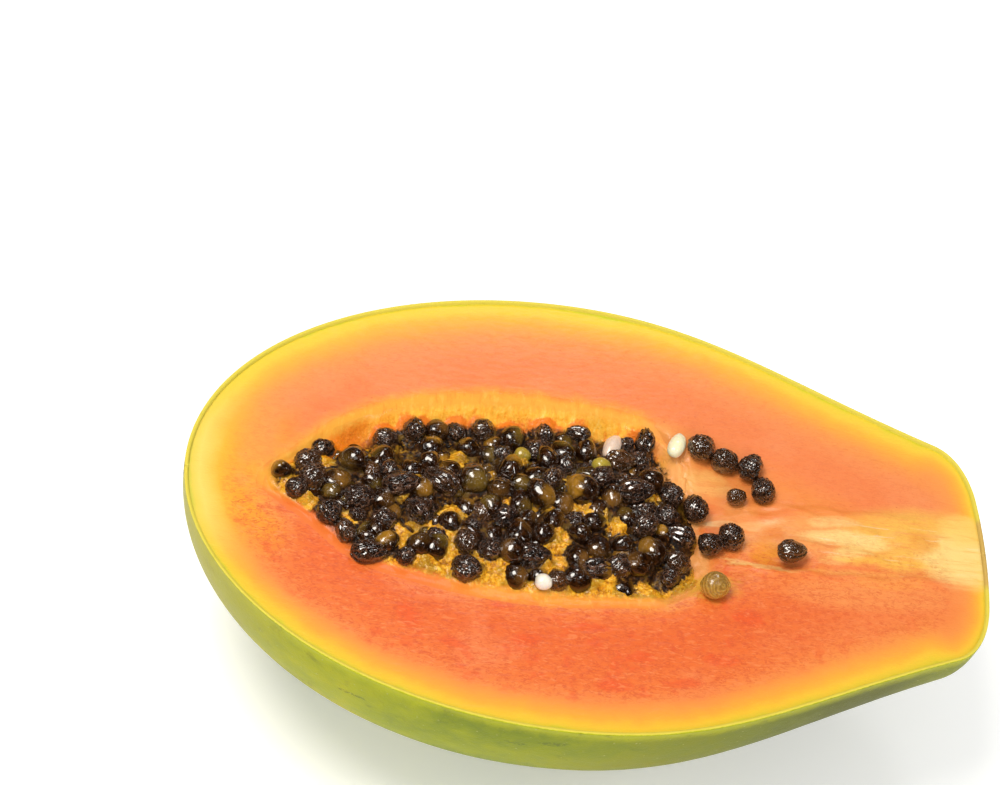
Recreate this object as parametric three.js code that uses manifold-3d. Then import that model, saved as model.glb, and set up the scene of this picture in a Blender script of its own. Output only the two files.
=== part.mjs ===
import * as THREE from 'three';
import { mergeVertices } from 'three/addons/utils/BufferGeometryUtils.js';
import Module from 'manifold-3d';

// Papaya half, cut lengthwise, lying on its skin with the cut face up.
// Millimetres, +Z up, +X towards the stem end. Origin under the middle, on the resting flat.

const wasm = await Module();
wasm.setup();

// Whole fruit
const fruitLength = 160;
const fruitRadius = 50.4; // half the width at the widest station
const widestX = -5.4; // the fruit is pear shaped, so the widest station is behind the middle
const ridgeCount = 5; // low ridges run along the skin and fade towards both ends
const ridgeHeight = 0.4;
const restDrop = 1.2; // how far the belly is flattened where the half lies
const cutHeight = fruitRadius + ridgeHeight - restDrop; // height of the cut face

// Stem end: a straight flank, a rounded corner and a nearly flat end
const flankEndX = 71.8;
const flankEndRadius = 25.75;
const flankSlope = 0.39;
const shoulderPull = 30; // how long the widest station stays level
const flankPull = 35; // how long the flank stays straight
const cornerPull = 5.5;
const capEdgeX = 79.3; // where the corner ends and the flat end starts
const capEdgeRadius = 13.4;
const capBulge = 0.5; // the end swells this much on its way to the middle
const cornerFall = 4; // how far above its edge the corner already falls straight

// Seed cavity: a steep walled hollow, pointed towards the blossom
const cavityCentre = new THREE.Vector2(-15, 2);
const cavityDepth = 21;
const cavityRim = [
  [-64.5, -0.5], [-57, 8], [-47.5, 16.6], [-34, 22.4], [-16, 25.4], [0, 25], [12, 23],
  [19.5, 18.5], [21.5, 11], [22.5, 3], [24, -6], [22.5, -13], [15, -18.4], [3, -20.2],
  [-12, -21.2], [-32, -19.6], [-46, -15.9], [-55.6, -8.3],
];
const wallPower = 3.6; // steep wall along the flanks
const tipPower = 2.2; // slanting wall at the blossom tip
const tipStart = -38; // the wall starts to slant here
const tipEnd = -60;
const stemPower = 1.8; // gentle slope up to the dish
const stemStart = 13;
const stemEnd = 21;
const nodeGap = 0.4; // the heap stays this far off the flesh

// Dish: where the cavity runs out into the core strip at the stem end
const dish = { x: 23.5, y: 4, halfLength: 15, halfWidth: 16.5, depth: 2.8 };

// Core strip: pale fibres that run from the dish to the stem, as low ridges on the flesh
const fibres = [
  { from: [26, -8.4], to: [78, -6.4], bow: -1.6, width: 1.7, height: 0.5 },
  { from: [27, 7.2], to: [73, 7.4], bow: -1.2, width: 2.2, height: 0.4 },
  { from: [25, 3.4], to: [58, 2.2], bow: 1.8, width: 2.4, height: 0.5 },
  { from: [33, -3.2], to: [60, -4.4], bow: 1.4, width: 2, height: 0.4 },
];
const budScar = { x: 64.2, y: 0.2, radius: 4.4, height: 0.4 };

// Seeds: egg shaped, three half axes each
const seedHalfLength = 3.15;
const seedHalfWidth = 2.75;
const seedHalfThickness = 2.6;
const facetSwell = 1.06; // a seed of few faces is drawn out to fill a round seed's size
const seedTilt = 0.6; // most that a seed leans, in radians
const seedField = { left: -64, right: 26, near: -22, far: 27 };
const seedSpacing = 5.05; // between neighbours of the heap
const seedRowSpacing = seedSpacing * Math.sqrt(3) / 2;
const seedJitter = 1.1;
const seedSizeSpread = 0.34; // the largest seed is this share larger than the smallest
const seedRise = 0.7; // seed centres above the heap's core
const seedLift = 1.5; // random part of that rise, up and down together
const outsideShare = 0.45; // a seed up to this share of the spacing outside moves in
const wallTouch = 0.94; // how much of its radius a seed keeps from the cavity wall

// Heap of seeds and pulp: level along the near side, lower along the far wall
const heapCrown = -0.6; // core below the cut face on the near side
const heapDrop = 4; // how much lower it lies along the far wall
const heapDropStart = 3; // the drop runs across between these two
const heapDropEnd = 16;
const bankRise = 3; // a bank of pulp rises again towards the far wall
const bankWidth = 6.6;
const tipLevelEnd = -62; // no drop at the blossom tip
const tipDropStart = -46;
const heapSway = 0.5; // slow waves in the core
const heapEndX = 24;
const heapSlopeStart = 9; // the heap falls away towards the dish
const heapStemDrop = 2.6;
const pulpHeight = 1.2;
const pulpShare = 0.8; // no seed stands within this share of a lump's radius
const pulpLumps = [ // x, y and radius, more of them along the near side
  [-56.5, -6, 2.6], [-47.5, -9.8, 2.6], [-43.5, -12.5, 2.8], [-36, 2.2, 2.4], [-37.5, -1.2, 1.9],
  [-37.5, -8.8, 2.4], [-29.3, -4, 3.2], [-28.3, -12.3, 3], [-33, -16.4, 4.2], [-22, -1.6, 2.3],
  [-17.5, -16.8, 3.8], [-9.3, -8.5, 3.2], [-8.3, -14.5, 4], [-8, -2.4, 2.4], [5.2, -3.8, 2.8],
  [11.8, 4.8, 2.4], [-27.5, 9.2, 3.4], [-53.5, 4.2, 2.2], [0.8, -17.4, 2.6], [20.5, -15.5, 3.2],
  [9.5, -18, 2.2],
];
const bankSeeds = [ // seeds that stick in the bank: x, y, size and turn
  { x: -53.4, y: 8, size: 0.8, turn: 30 },
  { x: -41.5, y: 14, size: 0.94, turn: 70 },
  { x: -36, y: 18.4, size: 1.05, turn: 110 },
  { x: -29.2, y: 17.4, size: 0.74, turn: 20 },
  { x: -15.6, y: 18, size: 1, turn: 60 },
  { x: -9.6, y: 20.4, size: 0.78, turn: 90 },
  { x: -0.6, y: 18.6, size: 1, turn: 140 },
  { x: 10.8, y: 19.6, size: 0.94, turn: 80 },
];

// Seeds that lie apart, on the slope and on the core strip
const straySeeds = [
  { x: 39, y: -5.4, size: 0.96, turn: 12 },
  { x: 27.3, y: 15.8, size: 1, turn: -20 },
  { x: 32.5, y: 14.8, size: 0.95, turn: 60 },
  { x: 34.6, y: 9.7, size: 0.98, turn: 100 },
  { x: 29.4, y: 7.9, size: 0.66, turn: 10 },
  { x: 27.8, y: -1.6, size: 1, turn: 80 },
  { x: 23.2, y: -15.2, size: 0.96, turn: 0 },
  { x: 22.6, y: 18.4, size: 1, turn: 40 },
  { x: 20.8, y: 4.2, size: 0.98, turn: 100 },
  { x: 23.5, y: -4.2, size: 0.88, turn: 10 },
];
const tipSeed = { x: -60.4, y: 0.6, size: 0.85 }; // the last seed of the heap, in the blossom tip
const strayTilt = 0.2;
const strayClear = 1.14; // the heap stays clear of a stray seed grown by this
const straySink = 0.55; // share of its half thickness that a stray seed stands above the flesh

const fleshColour = 0xf07a3c;
const seedColour = 0x2a1c12;

function mix(a, b, share) {
  return a + (b - a) * share;
}

function smoothStep(low, high, value) {
  return THREE.MathUtils.smoothstep(value, low, high);
}

// Repeatable random number from 0 to 1 for a seed's index and one of its traits
function chance(index, trait) {
  const wave = Math.sin(index * 12.9898 + trait * 78.233) * 43758.5453;
  return wave - Math.floor(wave);
}

// Closed skin of rows running from pole to pole and columns going once round
function shell(columns, rows, pointAt) {
  const geometry = new THREE.SphereGeometry(1, columns, rows);
  const position = geometry.getAttribute('position');
  for (let i = 0; i < position.count; i += 1) {
    const row = Math.floor(i / (columns + 1)) / rows;
    const column = i % (columns + 1) % columns / columns;
    position.setXYZ(i, ...pointAt(column, row));
  }
  return geometry;
}

// Geometry to solid: shared vertices are merged and the faces turned outwards
function solid(geometry) {
  const bare = geometry.clone();
  bare.deleteAttribute('normal');
  bare.deleteAttribute('uv');
  const merged = mergeVertices(bare, 1e-5);
  const vertProperties = new Float32Array(merged.getAttribute('position').array);
  const triVerts = new Uint32Array(merged.getIndex().array);
  if (signedVolume(vertProperties, triVerts) < 0) {
    for (let i = 0; i < triVerts.length; i += 3) {
      [triVerts[i], triVerts[i + 1]] = [triVerts[i + 1], triVerts[i]];
    }
  }
  return new wasm.Manifold(new wasm.Mesh({ numProp: 3, vertProperties, triVerts }));
}

function signedVolume(vertices, triangles) {
  const corner = (k) => new THREE.Vector3().fromArray(vertices, triangles[k] * 3);
  let volume = 0;
  for (let i = 0; i < triangles.length; i += 3) {
    volume += corner(i).dot(corner(i + 1).cross(corner(i + 2))) / 6;
  }
  return volume;
}

// Solid back to a flat shaded geometry: only its outer skin, without sealed hollows and loose scraps
function geometryOf(manifold) {
  const mesh = manifold.getMesh();
  const geometry = new THREE.BufferGeometry();
  geometry.setAttribute('position', new THREE.BufferAttribute(mesh.vertProperties, 3));
  geometry.setIndex(new THREE.BufferAttribute(largestSkin(mesh.triVerts), 1));
  return geometry;
}

// Triangles of the connected skin that has the most of them
function largestSkin(triangles) {
  const parent = new Map();
  const rootOf = (vertex) => {
    let root = vertex;
    while ((parent.get(root) ?? root) !== root) {
      root = parent.get(root);
    }
    parent.set(vertex, root);
    return root;
  };
  for (let i = 0; i < triangles.length; i += 3) {
    parent.set(rootOf(triangles[i + 1]), rootOf(triangles[i]));
    parent.set(rootOf(triangles[i + 2]), rootOf(triangles[i]));
  }
  const skins = new Map();
  for (let i = 0; i < triangles.length; i += 3) {
    const root = rootOf(triangles[i]);
    if (!skins.has(root)) {
      skins.set(root, []);
    }
    skins.get(root).push(triangles[i], triangles[i + 1], triangles[i + 2]);
  }
  const largest = [...skins.values()].reduce((best, skin) => (skin.length > best.length ? skin : best));
  return new Uint32Array(largest);
}

function box(low, high) {
  const size = new THREE.Vector3().subVectors(high, low);
  const centre = new THREE.Vector3().addVectors(low, high).multiplyScalar(0.5);
  return solid(new THREE.BoxGeometry(size.x, size.y, size.z).translate(centre.x, centre.y, centre.z));
}

// Half outline of the fruit from the blossom pole to the middle of the stem end, as (x, radius)
function fruitOutline() {
  const lean = new THREE.Vector2(1, -flankSlope).normalize();
  const endX = fruitLength / 2;
  const outline = new THREE.Path();
  outline.absellipse(widestX, 0, widestX + endX, fruitRadius, Math.PI, Math.PI / 2, true);
  outline.bezierCurveTo(
    widestX + shoulderPull, fruitRadius,
    flankEndX - flankPull * lean.x, flankEndRadius - flankPull * lean.y,
    flankEndX, flankEndRadius,
  );
  outline.bezierCurveTo(
    flankEndX + cornerPull * lean.x, flankEndRadius + cornerPull * lean.y,
    capEdgeX - capBulge, capEdgeRadius + cornerFall,
    capEdgeX, capEdgeRadius,
  );
  outline.bezierCurveTo(capEdgeX + capBulge, capEdgeRadius * 2 / 3, endX, capEdgeRadius / 3, endX, 0);
  return outline;
}

// Half fruit without its cavity: the outline turned half a turn under the cut face
function halfFruit() {
  const rows = 38;
  const skinColumns = 24;
  const faceColumns = 6;
  const stations = fruitOutline().getSpacedPoints(rows);
  const skinShare = skinColumns / (skinColumns + faceColumns);
  const body = solid(shell(skinColumns + faceColumns, rows, (column, row) => {
    const station = stations[Math.round(row * rows)];
    const radius = row === 0 || row === 1 ? 0 : station.y;
    if (column > skinShare) {
      const across = mix(-1, 1, (column - skinShare) / (1 - skinShare));
      return [station.x, radius * across, cutHeight];
    }
    const angle = Math.PI * column / skinShare;
    const fade = smoothStep(0.2, 0.8, radius / fruitRadius);
    const ridge = ridgeHeight * fade * Math.cos(ridgeCount * (angle - Math.PI / 2));
    const reach = radius + Math.sin(angle) * ridge;
    return [station.x, reach * Math.cos(angle), cutHeight - reach * Math.sin(angle)];
  }));
  const belowFloor = box(
    new THREE.Vector3(-fruitLength, -fruitLength, -fruitLength),
    new THREE.Vector3(fruitLength, fruitLength, 0),
  );
  return body.subtract(belowFloor);
}

const rimCurve = new THREE.CatmullRomCurve3(
  cavityRim.map(([x, y]) => new THREE.Vector3(x, y, 0)),
  true,
  'centripetal',
);

// How the wall falls from the rim towards the middle, by where the rim is
function fallPower(rimX) {
  const power = mix(wallPower, tipPower, smoothStep(-tipStart, -tipEnd, -rimX));
  return mix(power, stemPower, smoothStep(stemStart, stemEnd, rimX));
}

// Cavity as a solid that reaches above the cut face; inset makes it smaller on every side
function cavity(inset) {
  const bowlRows = 7;
  const rows = bowlRows + 2;
  const columns = 40;
  const above = 12;
  return solid(shell(columns, rows, (column, row) => {
    const step = Math.round(row * rows);
    const rim = rimCurve.getPointAt(column);
    const outward = new THREE.Vector2(rim.x, rim.y).sub(cavityCentre);
    const reach = outward.length() - inset;
    const share = step > bowlRows ? 1 : Math.sin(step / bowlRows * Math.PI / 2);
    const depth = step > bowlRows ? -above : (cavityDepth - inset) * (1 - share ** fallPower(rim.x));
    outward.setLength(step === rows ? 0 : reach * share).add(cavityCentre);
    return [outward.x, outward.y, cutHeight - depth];
  }));
}

// Point of the rim that lies in the same direction from the cavity's middle
const rimPoints = rimCurve.getSpacedPoints(360).map((rim) => {
  const outward = new THREE.Vector2(rim.x, rim.y).sub(cavityCentre);
  return { x: rim.x, reach: outward.length(), direction: outward.normalize() };
});

function rimTowards(point) {
  const direction = point.clone().sub(cavityCentre);
  const along = (rim) => rim.direction.dot(direction);
  return rimPoints.reduce((best, rim) => (along(rim) > along(best) ? rim : best));
}

// Height of the flesh at a point of the cavity, the dish or the cut face
function fleshHeight(x, y) {
  const point = new THREE.Vector2(x, y);
  const rim = rimTowards(point);
  const share = Math.min(1, point.distanceTo(cavityCentre) / rim.reach);
  const cavityFall = cavityDepth * (1 - share ** fallPower(rim.x));
  const dishShare = Math.min(1, Math.hypot((x - dish.x) / dish.halfLength, (y - dish.y) / dish.halfWidth));
  return cutHeight - Math.max(cavityFall, dish.depth * Math.sqrt(1 - dishShare ** 2));
}

// 1 along the far wall and 0 on the near side and in the blossom tip
function farShare(x, y) {
  return smoothStep(heapDropStart, heapDropEnd, y) * smoothStep(tipLevelEnd, tipDropStart, x);
}

// Height of the heap's core
function heapHeight(x, y) {
  const farSide = farShare(x, y);
  const stemSide = smoothStep(heapSlopeStart, heapEndX, x);
  const sway = heapSway * Math.sin(x * 0.31 + 1) * Math.cos(y * 0.42);
  const point = new THREE.Vector2(x, y);
  const fromRim = rimTowards(point).reach - point.distanceTo(cavityCentre);
  const bank = bankRise * smoothStep(0, 1, 1 - fromRim / bankWidth) * farSide;
  return cutHeight + heapCrown - heapDrop * farSide - heapStemDrop * stemSide * (1 - farSide) + bank + sway;
}

// One egg shaped seed of few faces, turned and set down
function seed(place, size, turn, tilt) {
  const shape = new THREE.IcosahedronGeometry(1, 0);
  const turned = new THREE.Euler(tilt, tilt / 2, turn, 'ZYX');
  shape.applyMatrix4(new THREE.Matrix4().compose(
    place,
    new THREE.Quaternion().setFromEuler(turned),
    new THREE.Vector3(seedHalfLength, seedHalfWidth, seedHalfThickness).multiplyScalar(size * facetSwell),
  ));
  return solid(shape);
}

// Where the heap's seeds lie: a triangular lattice with jitter, drawn in from the cavity wall
function heapSeeds() {
  const seeds = [];
  const rows = Math.ceil((seedField.far - seedField.near) / seedRowSpacing);
  const columns = Math.ceil((seedField.right - seedField.left) / seedSpacing);
  for (let index = 1; index <= rows * columns; index += 1) {
    const row = Math.floor((index - 1) / columns);
    const column = (index - 1) % columns + row % 2 / 2;
    const x = seedField.left + column * seedSpacing + (chance(index, 1) - 0.5) * 2 * seedJitter;
    const y = seedField.near + row * seedRowSpacing + (chance(index, 2) - 0.5) * 2 * seedJitter;
    const size = 1 + (chance(index, 3) - 0.5) * seedSizeSpread;
    const place = seedPlace(x, y, size, seedRise + (chance(index, 4) - 0.5) * seedLift);
    if (place && !onPulp(x, y)) {
      const tilt = (chance(index, 6) - 0.5) * 2 * seedTilt;
      seeds.push({ place, size, turn: chance(index, 5) * Math.PI, tilt });
    }
  }
  for (const { x, y, size, turn } of bankSeeds) {
    const place = new THREE.Vector3(x, y, heapHeight(x, y) + seedRise);
    seeds.push({ place, size, turn: THREE.MathUtils.degToRad(turn), tilt: strayTilt });
  }
  return seeds;
}

function onPulp(x, y) {
  return pulpLumps.some(([lumpX, lumpY, radius]) => Math.hypot(x - lumpX, y - lumpY) < radius * pulpShare);
}

// A seed at the wall moves inwards; one that is far outside is left out
function seedPlace(x, y, size, rise) {
  const point = new THREE.Vector2(x, y);
  const rim = rimTowards(point);
  const height = heapHeight(x, y) + rise;
  const footShare = Math.min(1, Math.max(0, (height - seedHalfThickness - cutHeight) / cavityDepth + 1));
  const wall = rim.reach * footShare ** (1 / fallPower(rim.x)) - seedHalfLength * size * wallTouch - nodeGap;
  const clear = Math.min(wall, rim.reach - bankWidth * farShare(x, y));
  const reach = point.distanceTo(cavityCentre);
  if (reach > clear + seedSpacing * outsideShare) {
    return null;
  }
  point.sub(cavityCentre).setLength(Math.min(reach, clear)).add(cavityCentre);
  return new THREE.Vector3(point.x, point.y, height);
}

// Core of the heap: what lies under a gently waving top, inside the cavity
function heapCore() {
  const margin = 4;
  const length = seedField.right - seedField.left + 2 * margin;
  const width = seedField.far - seedField.near + 2 * margin;
  const block = new THREE.BoxGeometry(length, width, cutHeight, 18, 8, 1);
  block.translate((seedField.left + seedField.right) / 2, (seedField.near + seedField.far) / 2, 0);
  const position = block.getAttribute('position');
  for (let i = 0; i < position.count; i += 1) {
    if (position.getZ(i) > 0) {
      position.setZ(i, heapHeight(position.getX(i), position.getY(i)));
    }
  }
  return cavity(nodeGap).intersect(solid(block));
}

function seedHeap() {
  let heap = heapCore();
  for (const [x, y, radius] of pulpLumps) {
    const lump = new THREE.IcosahedronGeometry(1, 0).scale(radius, radius, pulpHeight);
    heap = heap.add(solid(lump.translate(x, y, heapHeight(x, y) + pulpHeight / 4)));
  }
  for (const { place, size, turn, tilt } of heapSeeds()) {
    heap = heap.add(seed(place, size, turn, tilt));
  }
  const last = new THREE.Vector3(tipSeed.x, tipSeed.y, heapHeight(tipSeed.x, tipSeed.y) + seedRise);
  heap = heap.add(seed(last, tipSeed.size, 0, 0)).intersect(cavity(nodeGap));
  for (const stray of straySeeds) {
    heap = heap.subtract(straySeed({ ...stray, size: stray.size * strayClear }));
  }
  return heap;
}

function straySeed({ x, y, size, turn }) {
  const place = new THREE.Vector3(x, y, fleshHeight(x, y) + seedHalfThickness * straySink);
  return seed(place, size, THREE.MathUtils.degToRad(turn), strayTilt);
}

// Low rounded ridge that follows the flesh from one point to another
function fibre({ from, to, bow, width, height }) {
  const sides = 6;
  const steps = 12;
  return solid(shell(sides, steps, (column, row) => {
    const taper = row === 0 || row === 1 ? 0 : Math.sin(Math.PI * row) ** 0.35;
    const angle = Math.PI * 2 * column;
    const x = mix(from[0], to[0], row);
    const y = mix(from[1], to[1], row) + bow * Math.sin(Math.PI * row);
    return [x, y + Math.cos(angle) * taper * width / 2, fleshHeight(x, y) + Math.sin(angle) * taper * height];
  }));
}

function flesh() {
  let half = halfFruit().subtract(cavity(0));
  const hollow = new THREE.SphereGeometry(1, 28, 12).rotateX(Math.PI / 2);
  hollow.scale(dish.halfLength, dish.halfWidth, dish.depth).translate(dish.x, dish.y, cutHeight);
  half = half.subtract(solid(hollow));
  for (const strand of fibres) {
    half = half.add(fibre(strand));
  }
  const scar = new THREE.SphereGeometry(1, 14, 6).rotateX(Math.PI / 2);
  scar.scale(budScar.radius, budScar.radius, budScar.height).translate(budScar.x, budScar.y, cutHeight);
  half = half.add(solid(scar));
  for (const stray of straySeeds) {
    half = half.add(straySeed(stray));
  }
  return half;
}

function namedMesh(name, manifold, colour, roughness) {
  const look = { color: colour, roughness, metalness: 0, flatShading: true };
  const material = new THREE.MeshStandardMaterial(look);
  const mesh = new THREE.Mesh(geometryOf(manifold), material);
  mesh.name = name;
  return mesh;
}

const papayaHalf = new THREE.Group();
papayaHalf.add(namedMesh('papaya_half', flesh(), fleshColour, 0.45));
papayaHalf.add(namedMesh('seed_heap', seedHeap(), seedColour, 0.25));

export default papayaHalf;
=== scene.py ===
import bpy
import numpy as np
from mathutils import Matrix


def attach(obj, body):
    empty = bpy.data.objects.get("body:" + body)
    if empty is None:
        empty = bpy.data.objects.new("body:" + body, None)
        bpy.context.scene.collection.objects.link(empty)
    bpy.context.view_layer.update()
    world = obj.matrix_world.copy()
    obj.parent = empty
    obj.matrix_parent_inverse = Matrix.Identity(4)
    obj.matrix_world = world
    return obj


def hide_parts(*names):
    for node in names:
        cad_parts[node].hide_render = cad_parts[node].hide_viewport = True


# Papaya half, cut lengthwise, lying on its skin with the cut face up.
# All shapes are worked out in millimetres and put into the meshes in metres.
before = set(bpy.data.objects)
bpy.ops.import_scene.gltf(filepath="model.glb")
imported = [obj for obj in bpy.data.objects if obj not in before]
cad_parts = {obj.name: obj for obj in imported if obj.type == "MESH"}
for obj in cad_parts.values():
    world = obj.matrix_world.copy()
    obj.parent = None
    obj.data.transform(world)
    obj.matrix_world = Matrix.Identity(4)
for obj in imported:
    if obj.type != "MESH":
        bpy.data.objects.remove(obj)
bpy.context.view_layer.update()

mm = 0.001

camera = {
    "target": (-18.46, 25.99, 49.6),  # point of the cut plane in the middle of the view
    "distance": 600,
    "elevation": 51.35,  # degrees
    "azimuth": -16.14,
    "roll": 19.49,
    "lens": 108.97,
    "sensor": 36,
}


def stood(thing, right, up, back, spot):
    # Camera or light stood in the scene by its own axes; it looks away from its back
    made = bpy.data.objects.new(thing.name, thing)
    bpy.context.scene.collection.objects.link(made)
    columns = [*right, 0], [*up, 0], [*back, 0], [*spot, 1]
    made.matrix_world = Matrix(np.array(columns).T.tolist())
    return made


def makeCamera():
    # Orbit position round the target; the view is then rolled about its own axis
    lift, swing, roll = np.radians([camera["elevation"], camera["azimuth"], camera["roll"]])
    back = np.array([np.sin(swing) * np.cos(lift), -np.cos(swing) * np.cos(lift), np.sin(lift)])
    right = np.cross(-back, [0, 0, 1])
    right = right / np.linalg.norm(right)
    up = np.cross(right, -back)
    across = np.cos(roll) * right + np.sin(roll) * up
    above = np.cos(roll) * up - np.sin(roll) * right
    data = bpy.data.cameras.new("view")
    data.sensor_width = camera["sensor"]
    data.lens = camera["lens"]
    data.clip_start = 0.01
    spot = (np.array(camera["target"]) + back * camera["distance"]) * mm
    bpy.context.scene.camera = stood(data, across, above, back, spot)


makeCamera()
bpy.context.scene.view_settings.view_transform = "Standard"
print("camera placed")

# Whole fruit, the same sizes as its solid
fruit = {
    "endX": 80,
    "radius": 50.4,
    "widestX": -5.4,
    "ridgeCount": 5,
    "ridgeHeight": 0.4,
    "cutHeight": 49.6,
    "flankEnd": (71.8, 25.75),
    "flankSlope": 0.39,
    "shoulderPull": 30,
    "flankPull": 35,
    "cornerPull": 5.5,
    "capEdge": (79.3, 13.4),
    "capBulge": 0.5,
    "cornerFall": 4,
}
cavity = {
    "centre": np.array([-15.0, 2.0]),
    "depth": 21,
    "rim": [(-64.5, -0.5), (-57, 8), (-47.5, 16.6), (-34, 22.4), (-16, 25.4), (0, 25), (12, 23),
            (19.5, 18.5), (21.5, 11), (22.5, 3), (24, -6), (22.5, -13), (15, -18.4), (3, -20.2),
            (-12, -21.2), (-32, -19.6), (-46, -15.9), (-55.6, -8.3)],
    "wallPower": 3.6,  # steep wall along the flanks
    "tipPower": 2.2,  # slanting wall at the blossom tip
    "tipStart": -38,
    "tipEnd": -60,
    "stemPower": 1.8,  # gentle slope up to the dish
    "stemStart": 13,
    "stemEnd": 21,
    "rimSoftness": 0.9,  # how widely the rim is rounded over
}
middleX, middleY = cavity["centre"]
dish = {"x": 23.5, "y": 4, "halfLength": 15, "halfWidth": 16.5, "depth": 2.8}
fibres = [
    {"start": (26, -8.4), "end": (78, -6.4), "bow": -1.6, "width": 1.7, "height": 0.5},
    {"start": (27, 7.2), "end": (73, 7.4), "bow": -1.2, "width": 2.2, "height": 0.4},
    {"start": (25, 3.4), "end": (58, 2.2), "bow": 1.8, "width": 2.4, "height": 0.5},
    {"start": (33, -3.2), "end": (60, -4.4), "bow": 1.4, "width": 2, "height": 0.4},
]
budScar = {"x": 64.2, "y": 0.2, "radius": 4.4, "height": 0.4}
seedSize = {"halfLength": 3.15, "halfWidth": 2.75, "halfThickness": 2.6}


def mix(first, second, share):
    return first + (second - first) * share


def smoothStep(low, high, value):
    share = np.clip((value - low) / (high - low), 0, 1)
    return share * share * (3 - 2 * share)


def softest(value, softness):
    # Value where it is positive and nearly 0 where it is negative, with a rounded bend between
    return (value + np.sqrt(value * value + softness * softness)) / 2


def chance(index, trait):
    # Repeatable random number from 0 to 1: the far decimals of a sine
    wave = np.sin(index * 12.9898 + trait * 78.233) * 43758.5453
    return wave - np.floor(wave)


def scatter(cells, salt):
    wave = np.sin(cells @ np.array([127.1, 311.7, 74.7]) + salt * 53.31) * 43758.5453
    return wave - np.floor(wave)


def corners(low, high):
    steps = np.arange(low, high + 1)
    return np.stack(np.meshgrid(steps, steps, steps), -1).reshape(-1, 3)


def softNoise(points, salt=0):
    # Random numbers at whole places, blended smoothly between the eight nearest
    cell = np.floor(points)
    share = smoothStep(0, 1, points - cell)
    total = np.zeros(points.shape[:-1])
    for corner in corners(0, 1):
        weight = np.prod(np.where(corner == 1, share, 1 - share), -1)
        total += weight * scatter(cell + corner, salt)
    return total


def roughNoise(points, salt=0, layers=3):
    # Layers of soft noise, each twice as fine and half as strong
    total = sum(softNoise(points * 2 ** k, salt + k) / 2 ** k for k in range(layers))
    return total / (2 - 2 ** (1 - layers))


def swing(points, salt):
    # Rough noise from -1 to 1
    return (roughNoise(points, salt) - 0.5) * 2


def cellNoise(points, salt=0):
    # Distances to the nearest and to the second nearest of one random dot in each unit cell
    cell = np.floor(points)
    nearest = np.full(points.shape[:-1], 9.0)
    second = nearest.copy()
    for corner in corners(-1, 1):
        spot = cell + corner
        dot = spot + np.stack([scatter(spot, salt + k) for k in range(3)], -1)
        away = np.linalg.norm(dot - points, axis=-1)
        second = np.minimum(second, np.maximum(nearest, away))
        nearest = np.minimum(nearest, away)
    return nearest, second


def evenly(line, count):
    # The same line with its points spread evenly along its length
    walked = np.concatenate([[0], np.cumsum(np.linalg.norm(np.diff(line, axis=0), axis=1))])
    wanted = np.linspace(0, walked[-1], count)
    return np.stack([np.interp(wanted, walked, line[:, k]) for k in range(line.shape[1])], 1)


def bezier(*controls):
    # Cubic Bezier curve: its four control points weighted by the Bernstein terms
    share = np.linspace(0, 1, 200)[:, None]
    a, b, c, d = (np.array(control, float) for control in controls)
    return (a * (1 - share) ** 3 + 3 * b * share * (1 - share) ** 2
            + 3 * c * share ** 2 * (1 - share) + d * share ** 3)


def fruitOutline(count):
    # Half outline as (x, radius) from the blossom pole to the stem end: a quarter ellipse,
    # a shoulder that runs into a straight flank, a rounded corner and a nearly flat end
    lean = np.array([1, -fruit["flankSlope"]]) / np.hypot(1, fruit["flankSlope"])
    flankEnd = np.array(fruit["flankEnd"])
    capX, capRadius = fruit["capEdge"]
    top = np.array([fruit["widestX"], fruit["radius"]])
    turn = np.linspace(0, np.pi / 2, 300)[:, None]
    halfAxis = fruit["widestX"] + fruit["endX"]
    dome = np.hstack([fruit["widestX"] - halfAxis * np.cos(turn), fruit["radius"] * np.sin(turn)])
    shoulder = bezier(top, top + [fruit["shoulderPull"], 0], flankEnd - fruit["flankPull"] * lean, flankEnd)
    corner = bezier(flankEnd, flankEnd + fruit["cornerPull"] * lean,
                    (capX - fruit["capBulge"], capRadius + fruit["cornerFall"]), (capX, capRadius))
    cap = bezier((capX, capRadius), (capX + fruit["capBulge"], capRadius * 2 / 3),
                 (fruit["endX"], capRadius / 3), (fruit["endX"], 0))
    return evenly(np.vstack([dome, shoulder[1:], corner[1:], cap[1:]]), count)


def shifted(line, inset):
    # Half outline moved inwards, square to itself
    along = np.gradient(line, axis=0)
    along = along / np.linalg.norm(along, axis=1)[:, None]
    moved = line + inset * np.stack([along[:, 1], -along[:, 0]], 1)
    moved[:, 1] = np.maximum(moved[:, 1], 0)
    moved[[0, -1], 1] = 0
    return moved


def cutOutline(count, inset):
    # Closed outline of the cut face, from the blossom tip along the far side and back on the near side
    half = shifted(fruitOutline(count // 2 + 1), inset)
    return np.vstack([half, (half * [1, -1])[-2:0:-1]])


def cavityRim(steps):
    # Closed centripetal Catmull-Rom curve through the rim's points
    points = np.array(cavity["rim"], float)
    before, after, beyond = (np.roll(points, -k, axis=0) for k in (-1, 1, 2))
    spans = [np.sqrt(np.linalg.norm(b - a, axis=1))[:, None]
             for a, b in ((before, points), (points, after), (after, beyond))]
    first, middle, last = spans
    leave = ((points - before) / first - (after - before) / (first + middle)) * middle + after - points
    arrive = ((beyond - after) / last - (beyond - points) / (middle + last)) * middle + after - points
    share = np.linspace(0, 1, steps, endpoint=False)[None, :, None]
    a, b, c, d = (term[:, None] for term in (points, leave, after, arrive))
    curve = ((2 * share ** 3 - 3 * share ** 2 + 1) * a + (share ** 3 - 2 * share ** 2 + share) * b
             + (3 * share ** 2 - 2 * share ** 3) * c + (share ** 3 - share ** 2) * d)
    return curve.reshape(-1, 2)


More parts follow.
